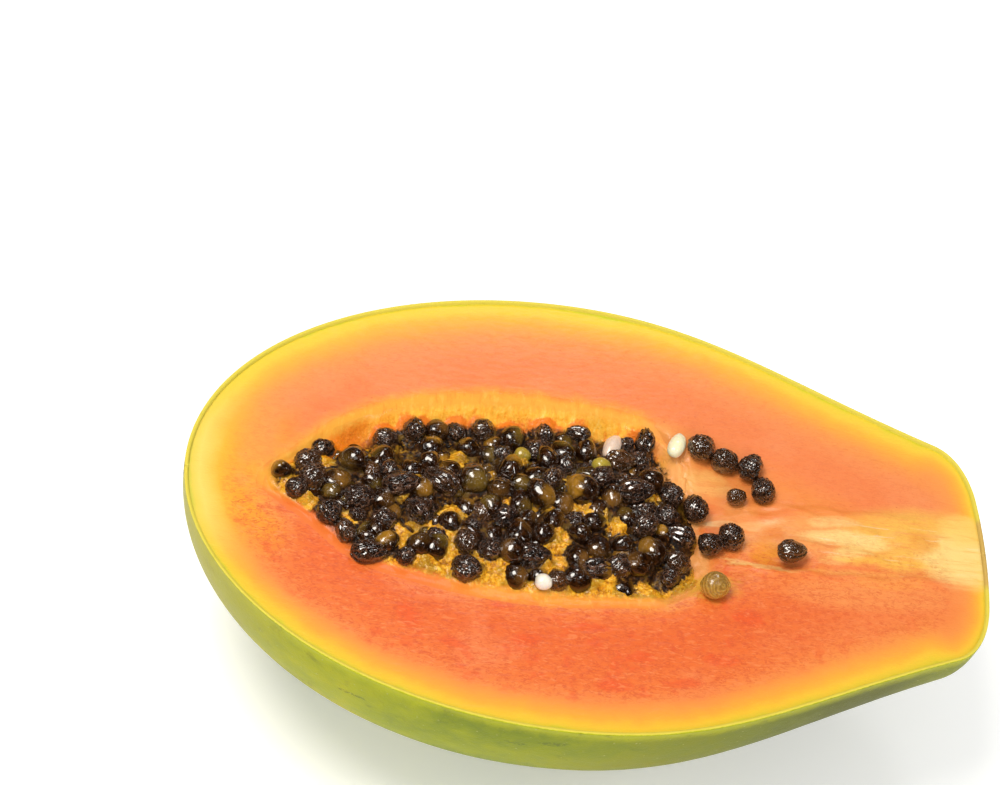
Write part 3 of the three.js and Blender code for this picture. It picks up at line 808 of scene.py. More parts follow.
def skinFinish():
    look = Finish("papayaSkin", 0.68)
    x, y, z, lip = look.x, look.y, look.z, look.fact("lip")
    broad = look.noise((0.027, 0.045, 0.045), 4, 0.6, 0.3)
    mottle = look.noise(0.28, 5, 0.62, 0.3)
    fine = look.noise(1.6, 4, 0.6)
    dot = look.cells(0.55).step(0.16, 0.07) * fine.step(0.45, 0.55)
    scratchX, scratchZ = x + mottle.sway(5), z + fine.sway(2.4)
    scratched = fine.step(0.4, 0.56) * y.step(0, -4) * 0.7
    # the stalk's scar: cork with a ring of pores, and a darker ring round it
    radial = look.away(look.stretch(look.place, (0, 1, 1)), (0.0, 0.0, fruit["cutHeight"]))
    atStem = x.step(74, 77)
    stalk = atStem * (radial + mottle.sway(3.4)).step(8.8, 6.8)
    cork = look.ramp(mottle * 0.6 + fine * 0.4, 0.3, 0.7, [
        (0.3, (104, 78, 44)), (0.5, (156, 124, 76)), (0.7, (196, 168, 112))])
    pores = look.cells((0, 0.8, 0.8)).step(0.36, 0.16) * radial.step(2.2, 3.6) * radial.step(6.4, 5.2)
    ring = atStem * radial.step(7.0, 8.2) * radial.step(10.5, 8.6)
    tipAway = look.away(look.place, (-fruit["endX"], 0.0, fruit["cutHeight"]))
    base = look.ramp(broad + mottle.sway(0.35), 0.2, 0.8, [
        (0.25, (118, 134, 2)), (0.4, (146, 158, 2)), (0.5, (164, 172, 4)), (0.6, (180, 182, 6)),
        (0.74, (202, 194, 12))])
    base = look.layers(base, [
        # darker along the side towards the stem end: painted shade
        ((112, 116, 4), (x + broad.sway(40)).step(-35, 40) * x.step(74, 56, 0.55, 0.8)),
        ((76, 78, 6), (x + mottle.sway(20)).step(30, 52) * x.step(72, 56) * 0.6),
        ((200, 200, 22), (z + mottle.sway(3)).step(46.2, 49.2) * 0.7),
        ((92, 104, 16), look.noise(0.12, 5, 0.65, 0.6).step(0.56, 0.68) * 0.4),
        ((140, 128, 60), look.noise((0.125, 0.6, 0.6), 5, 0.7, 1.2).step(0.66, 0.74) * 0.4),
        *[((92, 104, 20), look.blob(scratchX, scratchZ, spot) * scratched) for spot in scratches],
        ((206, 206, 128), dot * 0.55),
        ((96, 104, 36), look.cells(1.3).step(0.2, 0.1) * mottle.step(0.52, 0.6) * 0.4),
        ((204, 192, 84), (x + broad.sway(20)).step(-50, -78) * 0.7),
        ((92, 70, 34), (tipAway + fine.sway(1.5)).step(2.4, 1.4)),
        (look.blend(cork, (92, 66, 34), pores * 0.8), stalk),
        ((104, 110, 44), ring * 0.6),
    ])
    cut = look.ramp(lip + fine.sway(0.5), 0, 1, [
        (0.25, (200, 200, 34)), (0.5, (232, 224, 84)), (0.95, (240, 220, 84))])
    cut = look.layers(cut, [
        ((176, 184, 30), mottle.step(0.52, 0.66) * lip.step(1.1, 0.5) * 0.6),
        ((220, 178, 96), stalk * 0.9),
    ])
    return look.shade(look.blend(base, cut, (lip + fine.sway(0.8)).step(0.3, 0.8)), {
        "Roughness": 0.4 + 0.2 * mottle,
        "Normal": look.bump(fine * 0.5 + mottle * 0.5 + dot * 0.4, 0.0004, 0.5),
        "IOR": 1.23,
        "Coat Weight": 0.02,
        "Coat Roughness": 0.3,
        "Subsurface Weight": 0.1,
        "Subsurface Radius": (1.0, 1.0, 0.3),
    })


finished(makeSkin(), skinFinish(), "papaya_half")

# Seeds

heap = {
    "crown": -0.6,
    "drop": 4,
    "dropStart": 3,
    "dropEnd": 16,
    "bankRise": 3,  # a bank of pulp rises again towards the far wall
    "bankWidth": 6.6,
    "tipLevelEnd": -62,
    "tipDropStart": -46,
    "sway": 0.5,
    "endX": 24,
    "slopeStart": 9,
    "stemDrop": 2.6,
}
seedField = {
    "left": -64, "right": 26, "near": -22, "far": 27,
    "spacing": 4.4,
    "jitter": 1.25,
    "meanSize": 0.87,
    "sizeSpread": 0.4,
    "rise": 0.5,
    "lift": 2.3,
    "placedLift": 0.4,
    "tilt": 0.9,
    "outsideShare": 0.45,
    "wallTouch": 0.9,
    "gap": 0.4,
    "lumpRoom": 0.95,  # share of a lump's radius that stays clear of lattice seeds
    "nearRoom": 2.4,  # pulp shows this wide along the near rim
    "room": 0.84,  # lattice seeds keep this share of the spacing from the seeds placed one by one
    "strayRise": 0.55,  # share of its half thickness that a seed's middle lies above the flesh
    "strayTilt": 0.2,
    "deepSink": 2.4,  # seeds of the layer below lie this much lower
    "deepEnd": 15,
    "highest": 53.45,  # no seed stands higher
    "apart": 0.88,  # share of its half width that a seed keeps from its neighbours
    "apartStill": 0.92,
}
# Seeds given one by one: x, y, size and turn in degrees
wetPlaces = [
    (-51, 0.2, 1.12, 20), (-41.6, -2.6, 0.86, 70), (-34.5, -12.7, 1.02, 40), (-24, 4.3, 1.2, 75),
    (-18.6, 2.2, 1.0, 10), (-2.2, 5.2, 1.3, 110), (-31.4, 13.2, 1.0, 60), (-24.2, 14, 0.95, 80),
    (-15.4, 18.2, 0.92, 60), (-0.4, 17, 0.92, 95), (-41.4, 8.8, 0.96, 80), (8.6, -11.5, 1.05, 20),
    (0.5, -8.4, 0.98, 60), (-61.4, 1.2, 0.74, 0), (-40.7, -12.6, 0.88, 40), (-51.4, -2.6, 0.9, 70),
]
barePlaces = [
    (-56.2, 4, 0.95, 10), (-52, -7.3, 1.02, 60), (-46.2, -3, 1.12, 20), (-34, -4.3, 1.08, 30),
    (-25.4, -10.4, 0.98, 80), (-20.7, -12.2, 0.98, 30), (-25.2, -16.6, 1.0, 0), (-35, 17.3, 1.0, 100),
    (-10.2, 16.2, 0.92, 40), (11, 16.8, 0.95, 70), (15.7, 7, 0.98, 120), (-7.6, -17.2, 0.86, 0),
    (4.6, -12.6, 0.98, 50), (16.6, -9.4, 1.0, 10), (-40.6, 14, 0.84, 20), (-53.4, 8, 0.76, 30),
    (-58.2, -2.4, 0.84, 40), (-48.8, -10.8, 0.86, 120), (-37.2, -15.4, 0.74, 60), (-41.2, -7.4, 0.9, 15),
]
ribbedPlaces = [
    (-44.2, -15.2, 0.98, 10), (-30.2, 3, 1.05, 150), (-12.6, -12.2, 1.08, 5), (17.4, -2.6, 0.98, 160),
    (-26.6, 18.2, 0.66, 125), (-8.8, 20.2, 0.7, 100), (11.6, 20.2, 0.86, 85), (0.4, -13.8, 1.0, 10),
]
strayBare = [
    (27.3, 15.8, 1.0, -20), (32.5, 14.8, 0.95, 60), (34.6, 9.7, 0.98, 100), (29.4, 7.9, 0.66, 10),
    (20.8, 4.2, 0.98, 100), (27.8, -1.6, 1.0, 80), (23.5, -4.2, 0.88, 10), (22.6, 18.4, 1.0, 40),
]
strayRibbed = [(39.0, -5.4, 0.88, 12)]
gelSeedPlace = (23.2, -15.2, 0.96, 0)
# Lumps of pulp between the seeds: x, y and radius
pulpLumps = [
    (-56.1, -4.6, 1.7), (-47.5, -8.4, 1.6), (-44.2, -11.4, 1.3), (-35.6, 2.5, 1.4), (-37.7, -1.3, 1.3),
    (-37.5, -9.4, 1.4), (-27.6, -4.2, 2.4), (-29.3, -13.4, 2.4), (-32.4, -17, 3.6), (-21.3, -1.2, 1.5),
    (-18.4, -17.4, 3.6), (-7.8, -8.3, 3), (-8.6, -14, 3), (-8.2, -1.4, 1.4), (4.7, -3.2, 2),
    (11.2, 4.5, 1.7), (-26.9, 9.9, 2.7), (-53, 4.4, 1.6), (1.1, -16, 2.6), (20, -15.8, 3),
    (10.4, -17.4, 2.2), (-60, 3, 1.3), (-13.9, 11.6, 1.4),
]


def farShare(x, y):
    # 1 along the far wall and 0 on the near side and in the blossom tip
    return (smoothStep(heap["dropStart"], heap["dropEnd"], y)
            * smoothStep(heap["tipLevelEnd"], heap["tipDropStart"], x))


def bankShare(x, y):
    # Rises from 0 to 1 on the bank along the far rim
    return smoothStep(0, 1, 1 - insideRim(x, y) / heap["bankWidth"]) * farShare(x, y)


def heapHeight(x, y):
    # Level along the near side, lower along the far wall and towards the dish, with slow waves
    farSide = farShare(x, y)
    stemSide = smoothStep(heap["slopeStart"], heap["endX"], x)
    sway = heap["sway"] * np.sin(x * 0.31 + 1) * np.cos(y * 0.42)
    return (fruit["cutHeight"] + heap["crown"] - heap["drop"] * farSide
            - heap["stemDrop"] * stemSide * (1 - farSide) + heap["bankRise"] * bankShare(x, y) + sway)


def placedSeeds(places):
    # Table of seeds on the heap: x, y, z, size, turn and tilt
    x, y, size, turn = np.array(places, float).T
    z = heapHeight(x, y) + seedField["rise"] + seedField["placedLift"] * (chance(x + y, 5) - 0.5)
    tilt = (chance(x - y, 6) - 0.5) * seedField["tilt"]
    return np.stack([x, y, z, size, np.radians(turn), tilt], 1)


def heapSeeds(taken, shift=0.0, sink=0.0, trait=0):
    # Triangular lattice with jitter over the heap; seeds at the wall are drawn in, others left out
    f = seedField
    rowSpacing = f["spacing"] * np.sqrt(3) / 2
    rows = int(np.ceil((f["far"] - f["near"]) / rowSpacing))
    columns = int(np.ceil((f["right"] - f["left"]) / f["spacing"]))
    index = np.arange(1, rows * columns + 1)
    row = (index - 1) // columns
    column = (index - 1) % columns + row % 2 / 2
    x = f["left"] + (column + shift) * f["spacing"] + (chance(index, trait + 1) - 0.5) * 2 * f["jitter"]
    y = f["near"] + (row + shift) * rowSpacing + (chance(index, trait + 2) - 0.5) * 2 * f["jitter"]
    size = f["meanSize"] + (chance(index, trait + 3) - 0.5) * f["sizeSpread"]
    z = heapHeight(x, y) + f["rise"] - sink + (chance(index, trait + 4) - 0.5) * f["lift"]
    rimReach, rimX = rimTowards(x, y)
    foot = np.clip((z - seedSize["halfThickness"] - fruit["cutHeight"]) / cavity["depth"] + 1, 0, 1)
    clear = (rimReach * foot ** (1 / fallPower(rimX))
             - seedSize["halfLength"] * size * f["wallTouch"] - f["gap"])
    clear = np.minimum(clear, rimReach - heap["bankWidth"] * farShare(x, y))
    nearBand = smoothStep(-2, -10, y) * smoothStep(-46, -38, x) * smoothStep(16, 8, x)
    clear = clear - f["nearRoom"] * nearBand * (0.3 + chance(index, trait + 7))
    fromCentre = np.stack([x, y], 1) - cavity["centre"]
    reach = np.linalg.norm(fromCentre, axis=1)
    kept = reach <= clear + f["spacing"] * f["outsideShare"]
    if sink == 0:
        for lumpX, lumpY, radius in pulpLumps:
            kept &= np.hypot(x - lumpX, y - lumpY) > radius * f["lumpRoom"]
        for spot in taken:
            kept &= np.hypot(x - spot[0], y - spot[1]) > f["spacing"] * f["room"] * spot[3]
    drawnIn = cavity["centre"] + fromCentre * (np.minimum(reach, clear) / reach)[:, None]
    turn = chance(index, trait + 5) * np.pi
    tilt = (chance(index, trait + 6) - 0.5) * 2 * f["tilt"]
    return np.column_stack([drawnIn, z, size, turn, tilt])[kept]


def settled(seeds, still, rounds=24, most=1.2):
    # Neighbours that overlap much push each other apart a little, stay near where they were and
    # clear of the seeds that keep still
    start = place = seeds[:, :3]
    radius = seeds[:, 3] * seedSize["halfWidth"] * seedField["apart"]
    stillRadius = still[:, 3] * seedSize["halfWidth"] * seedField["apartStill"]
    bothRadii = radius[:, None] + np.concatenate([radius, stillRadius])
    for _ in range(rounds):
        apart = place[:, None] - np.vstack([place, still[:, :3]])
        far = np.linalg.norm(apart, axis=2) + 1e-6
        overlap = np.clip(bothRadii - far, 0, None)
        np.fill_diagonal(overlap, 0)
        place = place + (apart / far[..., None] * overlap[..., None]).sum(1) * 0.25
        place = start + np.clip(place - start, -most, most)
    return np.hstack([place, seeds[:, 3:]])


def strayTable(places):
    # Seeds that lie on the flesh: each stands a little over half its thickness out of it
    x, y, size, turn = np.array(places, float).T
    z = fleshHeight(x, y) + seedSize["halfThickness"] * seedField["strayRise"]
    return np.stack([x, y, z, size, np.radians(turn), 0 * x + seedField["strayTilt"]], 1)


def turned(points, turn, tilt):
    # Points leaned about their own x and y and then turned about z; one turn and tilt for each ball
    turn, tilt = turn[:, None, None], tilt[:, None, None]
    cosX, sinX, cosY, sinY = np.cos(tilt), np.sin(tilt), np.cos(tilt / 2), np.sin(tilt / 2)
    x, y, z = points[..., 0], points[..., 1], points[..., 2]
    y, z = y * cosX - z * sinX, y * sinX + z * cosX
    x, z = x * cosY + z * sinY, z * cosY - x * sinY
    return np.stack([x * np.cos(turn) - y * np.sin(turn), x * np.sin(turn) + y * np.cos(turn), z], -1)


def ballGrids(count, rings, around, uneven=0.0):
    # Balls of rings about the x axis; uneven puts more of the points on their upper side
    down = np.linspace(0, np.pi, rings + 2)[1:-1, None]
    spin = np.arange(around) / around * 2 * np.pi
    spin = spin + uneven * np.cos(spin)
    grid = [-np.cos(down) + 0 * spin, np.sin(down) * np.cos(spin), np.sin(down) * np.sin(spin)]
    return np.broadcast_to(np.stack(grid, -1), (count, rings, around, 3))


def eggs(balls, radius, taper, halves):
    # Balls with uneven radii, stretched to their half sizes and thinner towards one end
    return balls * (1 - taper * balls[..., :1] * [0, 1, 1]) * radius[..., None] * halves[:, None, None]


def putBalls(name, points, facts):
    # One mesh of many balls of rings, each closed with a point at both its ends
    count = len(points)
    _, faces, _ = skinWithPoles(points[0])
    everyFace = faces + (np.arange(count) * (faces.max() + 1))[:, None, None]

    def withEnds(values):
        ends = values[:, [0, -1]].mean(2)
        return np.concatenate([values.reshape(count, -1, *values.shape[3:]), ends], 1)

    return putMesh(name, withEnds(points).reshape(-1, 3), everyFace.reshape(-1, 3),
                   {fact: withEnds(values) for fact, values in facts.items()})


def seedPiece(name, seeds, rings, around, shapeOf):
    # One egg shaped seed for each row of the table, with a build of its own and with a surface that
    # the kind's own function makes uneven
    index = np.arange(len(seeds))
    balls = ballGrids(len(seeds), rings, around, 0.4)
    radius, relief = shapeOf(balls, index[:, None, None, None])
    build = 1 + 0.16 * (np.stack([chance(index, 15 + k) for k in range(3)], 1) - 0.5) * [1.4, 1, 1.2]
    halves = build * list(seedSize.values()) * seeds[:, 3:4]
    placed = turned(eggs(balls, radius, 0.15, halves), seeds[:, 4], seeds[:, 5])
    # light shows through the gel on one side of each seed
    heading = chance(index, 24) * 2 * np.pi
    raised = 0.15 + 0.75 * chance(index, 25)
    level = np.sqrt(1 - raised ** 2)
    towards = np.stack([level * np.cos(heading), level * np.sin(heading), raised], 1)
    outward = placed / np.linalg.norm(placed, axis=-1, keepdims=True)
    points = placed + seeds[:, None, None, :3]
    tooHigh = points[..., 2].max((1, 2)) - seedField["highest"]
    points[..., 2] -= np.clip(tooHigh, 0, None)[:, None, None]
    return putBalls(name, points, {
        "relief": relief,
        "above": placed[..., 2] / (seedSize["halfThickness"] * seeds[:, 3])[:, None, None],
        "through": (outward * towards[:, None, None]).sum(-1),
        "tint": chance(index + 3, 21)[:, None, None] + 0 * relief,
    })


def smoothShape(balls, salt):
    # Gel coat: an uneven ball with broad flats and soft dents
    lumps = softNoise(balls * 1.25 + salt * 7.7, 51)
    small = softNoise(balls * 2.9 + salt * 3.9, 52)
    return 0.95 + 0.2 * (lumps - 0.5) + 0.08 * (small - 0.5), lumps


def crumpledShape(balls, salt):
    # Bare seed: small round warts with narrow creases between them, on a body with a few folds
    spot = balls * [3.4, 3.9, 3.9] + salt * 5.3
    nearest, second = cellNoise(spot, 61)
    crease = np.sqrt(np.clip((second - nearest) * 1.5, 0, 1))
    wart = 1 - np.clip(nearest, 0, 1) ** 2
    fold = roughNoise(balls * 1.5 + salt * 2.3, 63, 2)
    return 0.82 + 0.09 * crease + 0.08 * wart + 0.24 * (fold - 0.5), 0.6 * crease + 0.4 * wart


def shrivelledShape(balls, salt):
    # Bare seed that has dried a little: few wide folds with sharp crests between hollows
    spot = balls * [1.5, 2.3, 2.3] + salt * 3.7
    nearest, second = cellNoise(spot, 66)
    crest = np.exp(-(((second - nearest) / 0.22) ** 2))
    warts = 1 - np.clip(cellNoise(balls * 3.6 + salt * 3.1, 67)[0], 0, 1)
    relief = crest * 0.6 + warts * 0.4
    broad = softNoise(balls * 1.3 + salt * 2.3, 69)
    return 0.82 + 0.16 * relief + 0.2 * (broad - 0.5), relief


def ribbedShape(balls, salt):
    # Longer bare seed with ridges from end to end that wander and split, and a pointed end
    spin = np.arctan2(balls[..., 2], balls[..., 1])
    wander = roughNoise(balls * [1.6, 2.2, 2.2] + salt * 4.1, 64, 2)
    ridge = 0.5 + 0.5 * np.sin(spin * 9 + wander * 9)
    warts = cellNoise(balls * [4.2, 5, 5] + salt * 2.7, 68)[0]
    relief = ridge * 0.65 + (1 - np.clip(warts, 0, 1)) * 0.35
    point = 0.16 * np.clip(balls[..., 0], 0, 1) ** 6
    return 0.8 + 0.15 * relief + 0.2 * balls[..., 0] ** 2 + point, relief


# Pale unripe seeds and loose gel sacs: x, y, rise, half length, half width, turn in degrees and tint
paleSeeds = [
    (-10.6, -18.2, 1.2, 1.75, 1.6, 0, 0.12), (17.6, 18.6, 1.3, 3.1, 1.7, 68, 0.3),
    (5, 18.2, 1.3, 3.3, 1.8, 68, 0.5), (2.2, 11.9, 1.9, 2, 1.9, 30, 0.9),
    (-13.6, 13, 1.7, 1.7, 1.6, 0, 0.97),
]

strays = strayTable(strayBare + strayRibbed + [gelSeedPlace])
wetOnes, bareOnes, ribbedOnes = (placedSeeds(places) for places in (wetPlaces, barePlaces, ribbedPlaces))
placedByHand = np.vstack([wetOnes, bareOnes, ribbedOnes])
paleOnes = placedSeeds([(spot[0], spot[1], spot[4] / seedSize["halfWidth"], 0) for spot in paleSeeds])
taken = np.vstack([placedByHand, paleOnes, strays])
lattice = settled(heapSeeds(taken), taken)
# More of the seeds are bare towards the blossom tip, along the near rim and at the stem end
draw = chance(np.arange(len(lattice)) + 1, 71)
bareShare = (0.36 + 0.4 * smoothStep(-16, -34, lattice[:, 0]) * smoothStep(8, -2, lattice[:, 1])
             + 0.4 * smoothStep(-8, -15, lattice[:, 1]) + 0.35 * smoothStep(6, 14, lattice[:, 0]))
isRibbed, isCrumpled, isShrivelled, isWet = (
    (low * bareShare <= draw) & (draw < high * bareShare)
    for low, high in ((0, 0.18), (0.18, 0.62), (0.62, 1), (1, np.inf)))
print(len(lattice) + len(placedByHand), "seeds in the heap,", isWet.sum(), "of the lattice in their gel")


def wetFinish():
    look = Finish("wetSeed")
    above, tint, through = look.fact("above"), look.fact("tint"), look.fact("through")
    fine = look.noise(1.1, 4, 0.6)
    body = look.blend((22, 8, 2), (60, 31, 8), fine.step(0.4, 0.72))
    gel = look.ramp(tint, 0, 1, [
        (0.1, (104, 80, 28)), (0.35, (72, 46, 16)), (0.6, (104, 68, 26)), (0.8, (136, 94, 28)),
        (0.96, (188, 134, 38))])
    edge = (through + look.noise(0.42, 4, 0.6, 0.4).sway(1.1)).step(0.35, 1.1)
    colour = look.layers(body, [
        (gel, edge),
        # lighter brown low on each seed: thicker gel at the base, with painted light
        ((104, 62, 16), (above + fine.sway(0.6)).step(0.1, -0.6) * 0.5),
        ((142, 104, 44), fine.step(0.6, 0.74) * edge * 0.4),
    ])
    return look.shade(colour, {
        "Roughness": 0.12 + 0.12 * fine,
        "Normal": look.bump(look.noise(0.7, 4, 0.55), 0.0009, 0.6),
        "IOR": 1.45,
        "Coat Weight": 1.0,
        "Coat Roughness": 0.03,
        "Coat IOR": 1.7,
    })


def bareFinish():
    look = Finish("bareSeed")
    relief, tint = look.fact("relief"), look.fact("tint")
    fine = look.noise(2.2, 4, 0.65)
    net = (look.cells(0.95, "DISTANCE_TO_EDGE") + fine.sway(0.2)).step(0.15, 0.02)
    broken = look.noise(0.8, 3, 0.6).step(0.44, 0.64)
    # darker in the creases and lighter on warts and crests: painted shade that follows the relief, mixed
    # with noise
    colour = look.ramp(relief * 0.5 + fine * 0.5, 0.1, 0.9, [
        (0.28, (7, 2, 1)), (0.45, (20, 8, 3)), (0.6, (42, 21, 9)), (0.8, (78, 46, 24))])
    colour = look.layers(colour, [
        ((158, 114, 88), net * (0.05 + 0.34 * broken)),
        ((110, 66, 18), tint.step(0.6, 1.0) * 0.3),
    ])
    wet = (look.noise(0.5, 2, 0.5) + tint.sway(0.3)).step(0.36, 0.52)
    return look.shade(colour, {
        "Roughness": 0.14 + 0.24 * fine,
        "Normal": look.bump(net * 0.5 + fine * 0.4, 0.0006, 0.8),
        "IOR": 1.5,
        "Coat Weight": 0.35 + 0.65 * wet,
        "Coat Roughness": 0.04,
        "Coat IOR": 1.9,
    })


bareFinished = bareFinish()
deep = settled(heapSeeds(taken, shift=0.5, sink=seedField["deepSink"], trait=30), strays)
# Each kind: its seeds, rings, points in a ring, shape and material
seedKinds = {
    "wetSeeds": ([lattice[isWet], wetOnes], 24, 38, smoothShape, wetFinish()),
    "crumpledSeeds": ([lattice[isCrumpled], bareOnes[::2], strayTable(strayBare)], 32, 56, crumpledShape,
                      bareFinished),
    "shrivelledSeeds": ([lattice[isShrivelled], bareOnes[1::2]], 30, 52, shrivelledShape, bareFinished),
    "ribbedSeeds": ([lattice[isRibbed], ribbedOnes, strayTable(strayRibbed)], 30, 68, ribbedShape,
                    bareFinished),
    "deepSeeds": ([deep[deep[:, 0] < seedField["deepEnd"]]], 12, 20, smoothShape, wetFinish()),
}
for name, (tables, rings, around, shapeOf, material) in seedKinds.items():
    finished(seedPiece(name, np.vstack(tables), rings, around, shapeOf), material, "seed_heap")


def makePaleSeeds():
    x, y, rise, halfLength, halfWidth, turn, tint = np.array(paleSeeds, float).T
    balls = ballGrids(len(x), 24, 36)
    lumps = softNoise(balls * 1.6 + np.arange(len(x))[:, None, None, None] * 4.3, 55)
    halves = np.stack([halfLength, halfWidth, halfWidth * 0.9], 1)
    placed = turned(eggs(balls, 0.94 + 0.12 * lumps, 0.12, halves), np.radians(turn), 0 * turn + 0.15)
    points = placed + np.stack([x, y, heapHeight(x, y) + rise], 1)[:, None, None]
    return putBalls("paleSeeds", points, {"tint": tint[:, None, None] + 0 * lumps})


def paleFinish():
    look = Finish("paleSeed", 0.8)
    tint, fine = look.fact("tint"), look.noise(1.2, 4, 0.6)
    colour = look.ramp(tint, 0, 1, [
        (0.1, (250, 240, 226)), (0.28, (250, 242, 204)), (0.34, (250, 240, 196)), (0.5, (236, 208, 186)),
        (0.7, (176, 112, 76)), (0.86, (190, 168, 62)), (1.0, (168, 140, 44))])
    colour = look.blend(colour, (120, 84, 30), fine.step(0.56, 0.72) * tint.step(0.4, 0.8) * 0.6)
    return look.shade(colour, {
        "Roughness": 0.2 + 0.15 * fine,
        "Normal": look.bump(fine, 0.0004, 0.4),
        "Subsurface Weight": 0.3,
        "Subsurface Radius": (1.0, 0.8, 0.4),
        "Coat Weight": 0.8,
        "Coat Roughness": 0.08,
    })


finished(makePaleSeeds(), paleFinish(), "seed_heap")


def gelShape(balls, salt):
    # Loose gel sac: curled rings about an axis that leans back
    lean = np.array([0.25, -0.3, 0.92])
    tilted = np.arccos(np.clip(balls @ (lean / np.linalg.norm(lean)), -1, 1))
    wander = roughNoise(balls * 1.6 + salt, 57, 2)
    ring = 0.5 + 0.5 * np.sin(tilted * 21 + wander * 13)
    return 0.93 + 0.012 * ring + 0.2 * (wander - 0.5), ring


def gelFinish():
    look = Finish("gelSeed", 0.85)
    relief, above = look.fact("relief"), look.fact("above")
    fine = look.noise(1.3, 4, 0.6)
    broad = look.noise(0.45, 3, 0.6, 0.5)
    colour = look.ramp(relief * 0.35 + fine * 0.4 + broad * 0.6 - 0.2, 0.0, 1.0, [
        (0.15, (138, 98, 34)), (0.4, (172, 126, 48)), (0.6, (198, 152, 66)), (0.85, (228, 188, 100))])
    colour = look.layers(colour, [
        ((126, 90, 42), (above + broad.sway(1.6)).step(0.35, 1.0) * 0.6),
        ((222, 172, 60), (above + fine.sway(0.8)).step(0.1, -0.5) * 0.8),
    ])
    return look.shade(colour, {
        "Roughness": 0.18 + 0.2 * fine,
        "Normal": look.bump(fine, 0.0005, 0.6),
        "Subsurface Weight": 0.3,
        "Subsurface Radius": (1.4, 1.0, 0.3),
        "Coat Weight": 0.8,
        "Coat Roughness": 0.08,
    })


finished(seedPiece("gelSeed", strayTable([gelSeedPlace]), 48, 72, gelShape),
         gelFinish(), "papaya_half")

# Pulp between the seeds

pulpShape = {
    "columns": 460,
    "rows": 170,
    "rowSpread": 0.85,  # below 1 its rings lie closer together at the rim
    "overlap": 3.4,  # the bed runs this far on over the face round the cavity and dips into it
    "joinSlope": 0.42,  # it leaves the far rim at this slope
    "nearSlope": 0.12,
    "leave": 1.6,  # it leaves the flesh this far outside the rim
    "ease": 1.6,
    "joinWidth": 3.4,
    "cover": 0.03,  # its thickness on the face
    "dip": 0.09,  # its outer edge dips into the flesh
    "dipWidth": 2.8,
    "stemDip": 1.2,  # along the dish it sinks lower
    "underside": 36,  # height of its flat underside
    "sink": 0.7,  # the bed lies this far under the heap's outline, apart from its lumps
    "climb": 1.3,  # it climbs this far up the sides of the seeds
    "climbWidth": 1.7,
    "lumpRise": 1.3,
    "lumpReach": 1.4,  # its slopes run out over this many of its radii
    "lumpTop": 0.8,  # no lump lifts the bed further above the cut
    "grain": 0.45,
    "seedSide": 0.92,  # share of its half width at which a seed meets the bed
}


def lumpShare(x, y, flat):
    # 1 on the round lumps, whose outlines waver, and 0 between them
    share = 0 * x
    for lumpX, lumpY, radius in pulpLumps:
        bent = 1 + 1.1 * (roughNoise(flat * 0.42 + lumpX, 78) - 0.5)
        away = np.hypot(x - lumpX, y - lumpY) / (radius * pulpShape["lumpReach"] * bent)
        share = np.maximum(share, 1 - smoothStep(0.15, 1.15, away))
    return share


